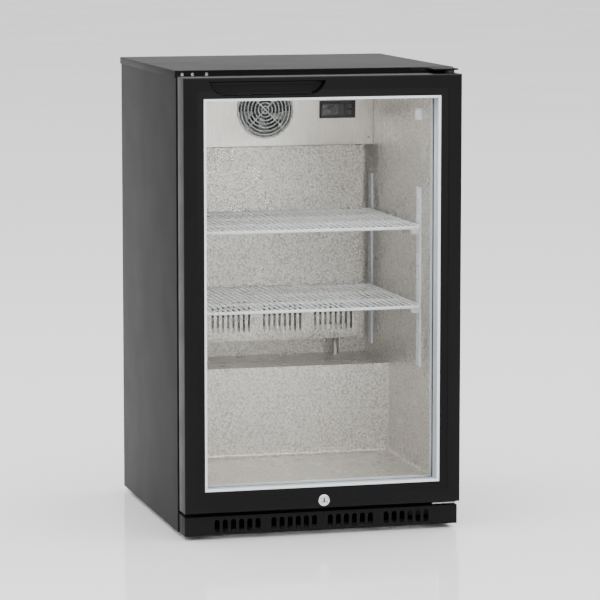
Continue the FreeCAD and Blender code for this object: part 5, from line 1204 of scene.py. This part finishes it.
class COOLER_OT_kick_grille(Make):
    """Make the slotted grille under the door, with a rolled rim round each slot"""

    bl_idname = "cooler.kick_grille"
    bl_label = "Kick grille"

    def execute(self, context):
        put("kick_plate", eased_copy("kick_grille", 0.9 * MM, 20 * MM, 3), "kick_grille",
            "powder_coated_steel")
        low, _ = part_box("kick_grille")
        width, height, base = 9.4 * MM, 23.5 * MM, low.z + 5 * MM
        pitch, group_pitch, groups, count = 15.3 * MM, 106.6 * MM, 4, 6
        first = -(group_pitch * (groups - 1) + pitch * (count - 1)) / 2
        rims = []
        for number in range(groups):
            rim = slot_rim(first + group_pitch * number, low.y, base, width, height, 0.5 * MM)
            rims.append(grid_of("rims", rim, count, 1, (pitch, 0, 0), (0, 0, 0),
                                "powder_coated_steel"))
        put("kick_slot_rims", joined("kick_slot_rims", rims, "powder_coated_steel"),
            "kick_grille", "powder_coated_steel", replaces=False)
        return {"FINISHED"}


def slot_rim(x, front, z, width, height, roll):
    """A rolled lip round an upright slot in a sheet that faces the front."""
    loops = []
    for grow, y in ((0.0, roll * 2), (0.0, roll * 0.6), (roll * 0.4, 0.0),
                    (roll * 1.2, -roll * 0.15), (roll * 2.0, 0.02 * MM), (roll * 2.0, roll * 2)):
        loops.append([in_space("y", p.x, p.y, front + y)
                      for p in slot_hole(x, z - grow, width + 2 * grow, height + 2 * grow)])
    return Shape().loft(loops, ring=True).mesh("slot_rim")


class COOLER_OT_feet(Make):
    """Make the four levelling feet: round pad and threaded stud"""

    bl_idname = "cooler.feet"
    bl_label = "Levelling feet"

    def execute(self, context):
        for place in ("front_left", "front_right", "rear_left", "rear_right"):
            node = f"foot_{place}"
            low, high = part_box(node)
            centre = ((low.x + high.x) / 2, (low.y + high.y) / 2, low.z)
            radius, stud, rise = (high.x - low.x) / 2, 4 * MM, high.z - low.z
            foot = Shape().lathe([
                (0, 0), (radius - 1.5 * MM, 0), (radius, 1.2 * MM), (radius, 2.6 * MM),
                (radius - 2.5 * MM, 4.2 * MM), (9 * MM, 5.2 * MM), (7 * MM, 6 * MM), (0, 6 * MM)],
                centre, "z", 56)
            put(f"{node}_pad", foot.mesh(f"{node}_pad"), node, "moulded_black_nylon")
            thread = [(0, 5.5 * MM), (stud, 5.5 * MM)]
            pitch, turns = 1.25 * MM, int((rise - 7 * MM) / (1.25 * MM))
            for turn in range(turns):
                thread += [(stud - 0.55 * MM, 6 * MM + pitch * (turn + 0.3)),
                           (stud, 6 * MM + pitch * (turn + 0.8))]
            thread += [(stud - 0.6 * MM, rise - 0.4 * MM), (0, rise - 0.2 * MM)]
            stud_mesh = Shape().lathe(thread, centre, "z", 28).mesh(f"{node}_stud")
            put(f"{node}_stud", stud_mesh, node, "zinc_plated_steel", replaces=False)
        return {"FINISHED"}


class COOLER_OT_evaporator_cover(Make):
    """Make the embossed covers at the back of the interior, with slot rims and screws"""

    bl_idname = "cooler.evaporator_cover"
    bl_label = "Evaporator cover"

    def execute(self, context):
        low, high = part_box("evaporator_cover")
        skin = 0.5 * MM
        cover = eased_copy("evaporator_cover", 0.9 * MM, 30 * MM, 3)
        # The inner faces of the cover take the black lining: painted shade inside the cover.
        put("evaporator_cover_sheet", cover, "evaporator_cover", "stucco_embossed_aluminium",
            more=[("closed_cell_foam_lining",
                   lambda c: c.y > low.y + 1.8 * skin and c.z > low.z + skin
                   and low.x + skin < c.x < high.x - skin)])
        width, height, base, pitch, count = 5 * MM, 60 * MM, low.z + 17 * MM, 10.4 * MM, 8
        rims = []
        for number in range(3):
            rim = slot_rim((-103 + 103 * number) * MM, low.y, base, width, height, 0.35 * MM)
            rims.append(grid_of("rims", rim, count, 1, (pitch, 0, 0), (0, 0, 0),
                                "mill_finish_aluminium"))
        put("cover_slot_rims", joined("cover_slot_rims", rims, "mill_finish_aluminium"),
            "evaporator_cover", "mill_finish_aluminium", replaces=False)
        put("fan_panel_sheet", eased_copy("fan_panel", 0.3 * MM, 30 * MM), "fan_panel",
            "mill_finish_aluminium")
        panel_low, panel_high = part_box("fan_panel")
        facing = (math.pi / 2, 0.0, 0.0)
        points = [Vector((x, low.y, z)) for x in (low.x + 9 * MM, high.x - 9 * MM)
                  for z in (low.z + 12 * MM, (low.z + high.z) / 2, high.z - 12 * MM)]
        points += [Vector((x, panel_low.y, z))
                   for x in (panel_low.x + 10 * MM, panel_high.x - 10 * MM)
                   for z in (panel_low.z + 14 * MM, panel_high.z - 14 * MM)]
        mesh = screws("cover_screws", points, facing, 3.4 * MM, 1.5 * MM, 1.0 * MM,
                      "zinc_plated_steel")
        put("cover_screws", mesh, "evaporator_cover", "zinc_plated_steel", replaces=False)
        return {"FINISHED"}


class COOLER_OT_fan_guard(Make):
    """Make the wire guard in front of the evaporator fan"""

    bl_idname = "cooler.fan_guard"
    bl_label = "Fan guard"

    def execute(self, context):
        sizes = self.sizes(context)
        low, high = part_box("fan_guard")
        x, z, wire = (low.x + high.x) / 2, (low.z + high.z) / 2, sizes.guard_wire
        reach = (high.x - low.x) / 2 - wire
        front, back = low.y + wire, high.y - wire
        rings = []
        for number in range(1, sizes.guard_rings + 1):
            radius = reach * number / sizes.guard_rings
            rings.append(([in_space("y", p.x, p.y, front) for p in circle(x, z, radius, 64)], True))
        meshes = [wires("rings", rings, wire, "zinc_plated_steel", sides=10)]
        bars = []
        for turn in (math.pi / 4, 3 * math.pi / 4):
            across = Vector((math.cos(turn), math.sin(turn))) * reach
            bars.append(([in_space("y", x - across.x, z - across.y, back),
                          in_space("y", x + across.x, z + across.y, back)], False))
        meshes.append(wires("bars", bars, wire, "zinc_plated_steel", sides=10))
        put("fan_guard_wires", joined("fan_guard_wires", meshes, "zinc_plated_steel"),
            "fan_guard", "zinc_plated_steel")
        return {"FINISHED"}


class COOLER_OT_fans(Make):
    """Make both fans with curved blades, and the evaporator fan's motor"""

    bl_idname = "cooler.fans"
    bl_label = "Fans"

    def fan(self, name, node, hub, blades, curve):
        low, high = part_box(node)
        centre = fan_centre(node)
        depth = high.y - low.y
        tip = max(high.x - low.x, high.z - low.z) / 2 - 0.6 * MM
        shape = Shape().lathe([(0.0, 0.4 * MM), (hub * 0.7, 0.4 * MM), (hub - 0.8 * MM, 0.9 * MM),
                               (hub, 2.0 * MM), (hub, depth), (hub - 1.6 * MM, depth),
                               (hub - 1.6 * MM, 2.4 * MM), (0.0, 2.4 * MM)],
                              (centre.x, low.y, centre.z), "y", 48)
        sheet = 1.1 * MM
        for number in range(blades):
            base = 2 * math.pi * number / blades
            loops = []
            for step in range(9):
                part = step / 8
                radius = hub - 0.5 * MM + (tip - hub + 0.5 * MM) * part
                spread_angle = curve * (1 - 0.25 * part)
                section = []
                for side, order in ((0, range(9)), (1, range(8, -1, -1))):
                    for along in order:
                        share = along / 8
                        angle = base + spread_angle * (share - 0.5) + 0.35 * part
                        camber = 0.12 * math.sin(math.pi * share)
                        y = low.y + 1.2 * MM + (depth - 3.6 * MM) * (share + camber) / 1.12
                        y += side * sheet
                        section.append(Vector((centre.x + radius * math.cos(angle), y,
                                               centre.z + radius * math.sin(angle))))
                loops.append(section)
            shape.loft(loops)
        put(name, shape.mesh(name, 45), node, "moulded_black_nylon")

    def execute(self, context):
        self.fan("evaporator_fan_rotor", "evaporator_fan_blade", 14 * MM, 5, 0.95)
        self.fan("condenser_fan_rotor", "condenser_fan_blade", 20 * MM, 5, 0.95)
        put("evaporator_fan_bracket", eased_copy("evaporator_fan_motor", 0.3 * MM, 4 * MM),
            "evaporator_fan_motor", "moulded_black_nylon")
        return {"FINISHED"}


def fan_centre(node):
    joint = next(item for item in frame["joints"] if item["child"] == BODY_OF[node])
    return Vector(joint["pos_m"])


class COOLER_OT_controller(Make):
    """Make the temperature controller: bezel, window, digits and two buttons"""

    bl_idname = "cooler.controller"
    bl_label = "Controller"

    def segments(self, x, z, wide, tall, lit):
        """Bars of one seven-bar digit as (low, high) in X and Z."""
        bar, half = 1.3 * MM, tall / 2
        places = {"a": (x, z + half, wide, bar), "g": (x, z, wide, bar),
                  "d": (x, z - half, wide, bar), "f": (x - wide / 2, z + half / 2, bar, half),
                  "b": (x + wide / 2, z + half / 2, bar, half),
                  "e": (x - wide / 2, z - half / 2, bar, half),
                  "c": (x + wide / 2, z - half / 2, bar, half)}
        return [places[key] for key in lit]

    def execute(self, context):
        put("controller_case", eased_copy("controller", 1.0 * MM, 3.2 * MM, 3), "controller",
            "moulded_black_abs")
        low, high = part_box("controller")
        button_low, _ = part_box("set_button")
        left, right = low.x + 5 * MM, button_low.x - 5 * MM
        base, top = low.z + 6 * MM, high.z - 6 * MM
        pane = Shape().box((left, low.y - 0.25 * MM, base), (right, low.y + 0.6 * MM, top),
                           0.24 * MM)
        put("controller_window", pane.mesh("controller_window"), "controller", "smoked_acrylic",
            replaces=False)
        bars = Shape()
        middle = (base + top) / 2
        window_x, gap = (left + right) / 2, 0.2 * MM
        for x, lit in ((window_x - 9 * MM, "afgcd"), (window_x + 5 * MM, "abcdef")):
            for bar_x, bar_z, wide, tall in self.segments(x, middle, 7 * MM, 13 * MM, lit):
                reach_x, reach_z = wide / 2 - gap, tall / 2 - gap
                bars.box((bar_x - reach_x, low.y - 0.34 * MM, bar_z - reach_z),
                         (bar_x + reach_x, low.y - 0.2 * MM, bar_z + reach_z), 0.05 * MM)
        put("controller_digits", bars.mesh("controller_digits"), "controller",
            "unlit_led_segment", replaces=False)
        for node in ("set_button", "mode_button"):
            low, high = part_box(node)
            cap = Shape().box(tuple(low), tuple(high), 0.7 * MM)
            put(f"{node}_cap", cap.mesh(f"{node}_cap"), node, "moulded_black_nylon")
        return {"FINISHED"}


def finned_coil(name, node, pitch, tube, rows, fin_finish, tube_finish):
    """Fins on tube runs joined by return bends; fins and tubes are two pieces."""
    low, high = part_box(node)
    bend_room = (high.z - low.z) / rows / 2 + tube
    left, right = low.x + bend_room + 1 * MM, high.x - bend_room - 1 * MM
    count = int((right - left) / pitch)
    sheet = 0.25 * MM
    ripple = []
    waves = 6
    for step in range(waves * 2 + 1):
        ripple.append(Vector((left + (0.35 * MM if step % 2 else 0.0),
                              low.y + (high.y - low.y) * step / (waves * 2))))
    outline = ripple + [Vector((p.x + sheet, p.y)) for p in reversed(ripple)]
    fin = Shape().prism(outline, "z", low.z, high.z).mesh("fin")
    fins = grid_of(f"{node}_fins", fin, count, 1, (pitch, 0, 0), (0, 0, 0), fin_finish)
    put(f"{name}_fins", fins, node, fin_finish)
    middle = (low.y + high.y) / 2
    step_z = (high.z - low.z) / rows
    run = []
    for row in range(rows):
        z = low.z + step_z * (row + 0.5)
        ends = (low.x + tube, high.x - tube)
        run += [Vector((x, middle, z)) for x in (ends if row % 2 == 0 else reversed(ends))]
    tubes = wires(f"{node}_tubes", [(run, False)], tube, tube_finish, bend=step_z / 2, sides=14)
    put(f"{name}_tubes", tubes, node, tube_finish, replaces=False)


class COOLER_OT_evaporator(Make):
    """Make the evaporator's fins and tubes, and the drip tray"""

    bl_idname = "cooler.evaporator"
    bl_label = "Evaporator"

    def execute(self, context):
        # The evaporator's fins take the dark grey of painted shade behind the cover's slots.
        finned_coil("evaporator", "evaporator_coil", self.sizes(context).fin_pitch, 4 * MM, 10,
                    "epoxy_coated_fins", "mill_finish_aluminium")
        put("drip_tray_pressing", eased_copy("drip_tray", 0.4 * MM, 12 * MM), "drip_tray",
            "mill_finish_aluminium")
        return {"FINISHED"}


class COOLER_OT_shelves(Make):
    """Make both wire shelves and the pilasters and clips that carry them"""

    bl_idname = "cooler.shelves"
    bl_label = "Shelves"

    def shelf(self, sizes, node):
        low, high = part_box(node)
        wire, rod = sizes.shelf_wire, sizes.shelf_rod
        wire_z, rod_z = high.z - wire, low.z + rod
        count = int((high.x - low.x - 2 * rod) / sizes.wire_pitch)
        first = (low.x + high.x) / 2 - sizes.wire_pitch * count / 2
        end_z = rod_z - rod + wire
        run = [Vector((first, y, z)) for y, z in ((low.y + wire, end_z), (low.y + wire, wire_z),
                                                  (high.y - wire, wire_z), (high.y - wire, end_z))]
        meshes = [wires("wires", [(run, False)], wire, "dipped_polyethylene", 3 * MM, 10,
                        count + 1, (sizes.wire_pitch, 0, 0))]
        left, right = low.x + rod, high.x - rod
        front, back = low.y + rod + wire, high.y - rod - wire
        rim = [Vector((x, y, rod_z))
               for x, y in ((left, front), (right, front), (right, back), (left, back))]
        meshes.append(wires("rim", [(rim, True)], rod, "dipped_polyethylene", 9 * MM, 14))
        third = (high.y - low.y) / 3
        cross = [Vector((x, low.y + third, rod_z)) for x in (low.x + rod, high.x - rod)]
        meshes.append(wires("cross", [(cross, False)], rod, "dipped_polyethylene", 0, 14, 2,
                            (0, third, 0)))
        put(f"{node}_wires", joined(f"{node}_wires", meshes, "dipped_polyethylene"), node,
            "dipped_polyethylene")

    def execute(self, context):
        for node in ("upper_shelf", "lower_shelf"):
            self.shelf(self.sizes(context), node)
        put("pilasters_and_clips", eased_copy("shelf_supports", 0.5 * MM, 12.5 * MM),
            "shelf_supports", "moulded_white_abs")
        return {"FINISHED"}


class COOLER_OT_lamp(Make):
    """Make the strip lamp and the rocker switch"""

    bl_idname = "cooler.lamp"
    bl_label = "Lamp and switch"

    def execute(self, context):
        put("lamp_channel", eased_copy("lamp_housing", 0.6 * MM, 5 * MM), "lamp_housing",
            "moulded_white_abs")
        low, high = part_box("lamp_diffuser")
        middle, half = (low.y + high.y) / 2, (high.y - low.y) / 2
        outline = [Vector((low.y, high.z)), Vector((low.y, low.z + 1.6 * MM))]
        ribs = 20
        for step in range(1, ribs):
            y = low.y + 2 * half * step / ribs
            sag = 1.6 * MM * ((y - middle) / half) ** 2
            outline.append(Vector((y, low.z + sag + (0.25 * MM if step % 2 else 0.0))))
        outline += [Vector((high.y, low.z + 1.6 * MM)), Vector((high.y, high.z))]
        lens = Shape().prism(outline, "x", low.x, high.x).mesh("lamp_lens", 60)
        put("lamp_lens", lens, "lamp_diffuser", "opal_acrylic")
        put("switch_rim", eased_copy("switch_housing", 0.7 * MM, 3 * MM, 3), "switch_housing",
            "moulded_white_abs")
        put("switch_paddle", eased_copy("switch_rocker", 0.6 * MM, 1 * MM, 3), "switch_rocker",
            "moulded_white_abs")
        return {"FINISHED"}


PLATE_OVERHANG = 6 * MM     # the compressor's foot plate past its shell


def compressor_shell():
    """Radius of the compressor's shell, and its axis in X and Y."""
    low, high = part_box("compressor")
    radius = (high.y - low.y) / 2
    return radius, low.x + radius + PLATE_OVERHANG, (low.y + high.y) / 2


class COOLER_OT_compressor(Make):
    """Make the compressor shell, its feet and relay box, and the evaporation tray"""

    bl_idname = "cooler.compressor"
    bl_label = "Compressor"

    def execute(self, context):
        low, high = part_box("compressor")
        radius, x, y = compressor_shell()
        base = low.z + 14.5 * MM
        rise = high.z - base
        can, dome = radius - 1.5 * MM, rise * 0.72
        profile = [(0, 0), (radius * 0.62, 1 * MM), (radius * 0.86, 7 * MM), (can, 20 * MM),
                   (can, rise * 0.56), (radius, rise * 0.565), (radius, rise * 0.6),
                   (can, rise * 0.605), (can, dome)]
        for step in range(1, 9):
            angle = math.pi / 2 * step / 8
            profile.append((can * math.cos(angle), dome + (rise - dome) * math.sin(angle)))
        shell = Shape().lathe(profile, (x, y, base), "z", 64)
        floor = low.z
        plate_z = base - 3 * MM
        plate_x, plate_y, corner = radius + PLATE_OVERHANG, radius - 8 * MM, 12 * MM
        plate = [(x - plate_x, y - plate_y, corner), (x + plate_x, y - plate_y, corner),
                 (x + plate_x, y + plate_y, corner), (x - plate_x, y + plate_y, corner)]
        shell.prism(rounded(plate, 5), "z", plate_z, plate_z + 2.5 * MM, 0.5 * MM)
        put("compressor_shell", shell.mesh("compressor_shell"), "compressor",
            "dipped_black_enamel")
        relay = Shape().box((x + radius - 4 * MM, y - 24 * MM, base + 30 * MM),
                            (x + radius + 30 * MM, y + 24 * MM, base + 92 * MM), 3 * MM)
        put("compressor_relay_box", relay.mesh("compressor_relay_box"), "compressor",
            "moulded_black_nylon", replaces=False)
        feet = Shape()
        for side_x in (-1, 1):
            for side_y in (-1, 1):
                feet.lathe([(0, 0), (8 * MM, 0), (8 * MM, 3 * MM), (6 * MM, 4.5 * MM),
                            (6 * MM, 6.5 * MM), (8 * MM, 8 * MM), (8 * MM, plate_z - floor),
                            (0, plate_z - floor)],
                           (x + side_x * (radius - 4 * MM), y + side_y * (radius - 18 * MM), floor),
                           "z", 28)
        put("compressor_grommets", feet.mesh("compressor_grommets"), "compressor",
            "soft_gasket_pvc", replaces=False)
        put("evaporation_tray_moulding", eased_copy("evaporation_tray", 0.4 * MM, 10 * MM),
            "evaporation_tray", "moulded_black_nylon")
        return {"FINISHED"}


class COOLER_OT_condenser(Make):
    """Make the condenser, its fan's frame, the pipes and the filter drier"""

    bl_idname = "cooler.condenser"
    bl_label = "Condenser and pipes"

    def execute(self, context):
        finned_coil("condenser", "condenser_coil", self.sizes(context).fin_pitch, 4 * MM, 8,
                    "mill_finish_aluminium", "drawn_copper")
        put("condenser_fan_shroud", eased_copy("condenser_fan_frame", 0.4 * MM, 12 * MM),
            "condenser_fan_frame", "galvanised_sheet")
        self.pipes()
        low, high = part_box("filter_drier")
        centre = ((low.x + high.x) / 2, (low.y + high.y) / 2, low.z)
        radius, rise = (high.x - low.x) / 2, high.z - low.z
        drier = Shape().lathe([
            (0, 0), (3.2 * MM, 0), (3.4 * MM, 6 * MM), (radius * 0.6, 10 * MM),
            (radius * 0.95, 14 * MM), (radius, 18 * MM), (radius, rise - 18 * MM),
            (radius * 0.95, rise - 14 * MM), (radius * 0.6, rise - 10 * MM),
            (3.4 * MM, rise - 6 * MM), (3.2 * MM, rise), (0, rise)], centre, "z", 36)
        put("filter_drier_shell", drier.mesh("filter_drier_shell", 50), "filter_drier",
            "drawn_copper")
        return {"FINISHED"}

    def pipes(self):
        """Copper pipes from the compressor to the condenser, up to the evaporator, and from the
        condenser to the drier."""
        radius, comp_x, comp_y = compressor_shell()
        comp_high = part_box("compressor")[1]
        coil_low, coil_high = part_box("condenser_coil")
        drier_low, drier_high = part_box("filter_drier")
        _, lines_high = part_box("refrigerant_lines")
        pipe, bend = 3.2 * MM, 10 * MM
        edge = comp_x + radius
        coil_y = (coil_low.y + coil_high.y) / 2
        half_pitch = (coil_high.z - coil_low.z) / 16
        coil_x = coil_low.x + 15 * MM
        side_y, side_z = comp_y - radius / 2, comp_high.z - radius / 2
        high_z, low_z = coil_high.z - half_pitch, coil_low.z + half_pitch
        drier_x, top_z = (drier_low.x + drier_high.x) / 2, lines_high.z - pipe
        runs = [
            [(edge - bend, side_y, side_z), (edge + 2 * bend, side_y, side_z),
             (edge + 2 * bend, side_y, high_z), (edge + 2 * bend, coil_y, high_z),
             (coil_x, coil_y, high_z)],
            [(comp_x, comp_y, comp_high.z - 1 * MM), (comp_x, comp_y, top_z),
             (comp_x, coil_y, top_z), (edge, coil_y, top_z)],
            [(coil_x, coil_y, low_z), (drier_x, coil_y, low_z),
             (drier_x, coil_y, drier_low.z + 1 * MM)],
        ]
        mesh = wires("pipe_runs", [([Vector(point) for point in run], False) for run in runs],
                     pipe, "drawn_copper", bend, 20)
        put("refrigerant_pipes", mesh, "refrigerant_lines", "drawn_copper")


class COOLER_OT_rear_grille(Make):
    """Make the louvred cover of the machine room and the mains inlet"""

    bl_idname = "cooler.rear_grille"
    bl_label = "Rear grille"

    def execute(self, context):
        put("rear_grille_sheet", eased_copy("rear_grille", 0.3 * MM, 30 * MM), "rear_grille",
            "powder_coated_steel")
        low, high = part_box("rear_grille")
        length, tall, pitch, rows = 96 * MM, 5 * MM, 13 * MM, 11
        first = 64 * MM
        hoods = []
        for column in (-1, 0, 1):
            left = length * (column - 0.5) + 30 * MM * column
            hoods.append(grid_of("hoods", self.hood(left, left + length, high.y, first, tall), 1,
                                 rows, (0, 0, 0), (0, 0, pitch), "powder_coated_steel"))
        put("rear_louvres", joined("rear_louvres", hoods, "powder_coated_steel"), "rear_grille",
            "powder_coated_steel", replaces=False)
        points = [Vector((x, high.y + 0.05 * MM, z)) for x in (low.x + 20 * MM, high.x - 20 * MM)
                  for z in (low.z + 12 * MM, high.z - 8 * MM)]
        points.append(Vector((0.0, high.y + 0.05 * MM, high.z - 8 * MM)))
        put("rear_grille_screws", screws("rear_grille_screws", points, (-math.pi / 2, 0.0, 0.0),
                                         3.2 * MM, 0.9 * MM, 1.0 * MM, "zinc_plated_steel"),
            "rear_grille", "zinc_plated_steel", replaces=False)
        put("mains_inlet_moulding", eased_copy("mains_inlet", 0.4 * MM, 3 * MM), "mains_inlet",
            "moulded_black_nylon")
        return {"FINISHED"}

    def hood(self, left, right, back, z, tall):
        """A louvre pressed out of the sheet over its slot, with closed ends."""
        proud, sheet, top = 0.9 * MM, 0.5 * MM, z + tall / 2
        outline = [Vector((back - 0.6 * MM, top + 1.5 * MM)),
                   Vector((back + proud * 0.5, top + 0.9 * MM)),
                   Vector((back + proud, z + tall / 4)), Vector((back + proud, z)),
                   Vector((back + proud - sheet, z)),
                   Vector((back + proud * 0.3, top - 0.2 * MM)),
                   Vector((back - 1.0 * MM, top))]
        return Shape().prism(outline, "x", left - 1 * MM, right + 1 * MM).mesh("hood")


class COOLER_OT_stage(Make):
    """Make the pale floor, the soft lights and the camera"""

    bl_idname = "cooler.stage"
    bl_label = "Stage"

    def execute(self, context):
        scene = context.scene
        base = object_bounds()[0][2]
        floor_mesh = Shape().box((-40, -20, base - 0.05), (40, 60, base)).mesh("studio_floor")
        floor_mesh.materials.append(finish("pale_acrylic_floor"))
        floor = bpy.data.objects.new("studio_floor", floor_mesh)
        scene.collection.objects.link(floor)
        floor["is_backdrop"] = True

        world = bpy.data.worlds.new("studio_air")
        world.use_nodes = True
        tree = world.node_tree
        air = next(node for node in tree.nodes if node.type == "BACKGROUND")
        air.inputs["Color"].default_value = (1.0, 1.0, 1.0, 1.0)
        place = add_node(tree, "ShaderNodeTexCoord")
        height = add_node(tree, "ShaderNodeSeparateXYZ", links={"Vector": (place, "Generated")})
        glow = spread(tree, height, "Z", *STUDIO_AIR)
        tree.links.new(glow.outputs["Result"], air.inputs["Strength"])
        scene.world = world

        for name, place, size, power, aim in STUDIO_LIGHTS:
            lamp = bpy.data.lights.new(name, "AREA")
            lamp.shape = "RECTANGLE"
            lamp.size, lamp.size_y = size
            lamp.energy = power
            holder = bpy.data.objects.new(name, lamp)
            holder.location = place
            away = Vector(place) - Vector(aim)
            holder.rotation_euler = away.to_track_quat("Z", "Y").to_euler()
            scene.collection.objects.link(holder)

        view = bpy.data.cameras.new("studio_camera")
        view.sensor_width = 36.0
        view.lens = CAMERA_LENS
        view.clip_end = 200.0
        camera = bpy.data.objects.new("studio_camera", view)
        camera.location = CAMERA_PLACE
        camera.rotation_euler = (math.radians(90 - CAMERA_DOWN), 0.0, math.radians(-CAMERA_TURN))
        scene.collection.objects.link(camera)
        scene.camera = camera
        return {"FINISHED"}


# lens in millimetres, place in metres, angles in degrees
CAMERA_LENS = 196.61
CAMERA_PLACE = (-1.5497, -5.9558, 1.1869)
CAMERA_DOWN, CAMERA_TURN = 7.28, 14.82
# strength of the air low and high, and the heights on its sphere between which it changes
STUDIO_AIR = (0.7, 2.7, 0.05, 0.6)
STUDIO_LIGHTS = (
    # name, place, size, power, aimed at
    ("overhead_softbox", (-0.2, -0.4, 3.0), (2.4, 2.4), 16.0, (0.0, 0.0, 0.4)),
    ("rear_left_card", (-0.52, 1.35, 0.5), (0.3, 1.3), 0.35, (-0.27, 0.05, 0.45)),
    ("front_softbox", (0.9, -3.2, 2.2), (1.6, 1.6), 12.0, (0.05, 0.1, 0.45)),
)


class COOLER_PT_panel(bpy.types.Panel):
    """The sidebar panel that lists the operators"""

    bl_idname = "COOLER_PT_panel"
    bl_label = "Refrigerator"
    bl_space_type = "VIEW_3D"
    bl_region_type = "UI"
    bl_category = "Refrigerator"

    def draw(self, context):
        for settings in (context.scene.cooler_finishes, context.scene.cooler_sizes):
            box = self.layout.box()
            for name in type(settings).__annotations__:
                box.prop(settings, name)
        for operator in OPERATORS:
            self.layout.operator(operator.bl_idname)


OPERATORS = (COOLER_OT_finishes, COOLER_OT_cabinet, COOLER_OT_liner, COOLER_OT_door_frame,
             COOLER_OT_glazing, COOLER_OT_hinges, COOLER_OT_lock, COOLER_OT_kick_grille,
             COOLER_OT_feet, COOLER_OT_evaporator_cover, COOLER_OT_fan_guard, COOLER_OT_fans,
             COOLER_OT_controller, COOLER_OT_evaporator, COOLER_OT_shelves, COOLER_OT_lamp,
             COOLER_OT_compressor, COOLER_OT_condenser, COOLER_OT_rear_grille, COOLER_OT_stage)
CLASSES = (CoolerFinishes, CoolerSizes, *OPERATORS, COOLER_PT_panel)


def register():
    for item in CLASSES:
        bpy.utils.register_class(item)
    bpy.types.Scene.cooler_finishes = PointerProperty(type=CoolerFinishes)
    bpy.types.Scene.cooler_sizes = PointerProperty(type=CoolerSizes)


def unregister():
    del bpy.types.Scene.cooler_sizes
    del bpy.types.Scene.cooler_finishes
    for item in reversed(CLASSES):
        bpy.utils.unregister_class(item)


def main():
    register()
    for operator in OPERATORS:
        family, name = operator.bl_idname.split(".")
        getattr(getattr(bpy.ops, family), name)()


if __name__ == "__main__":
    main()
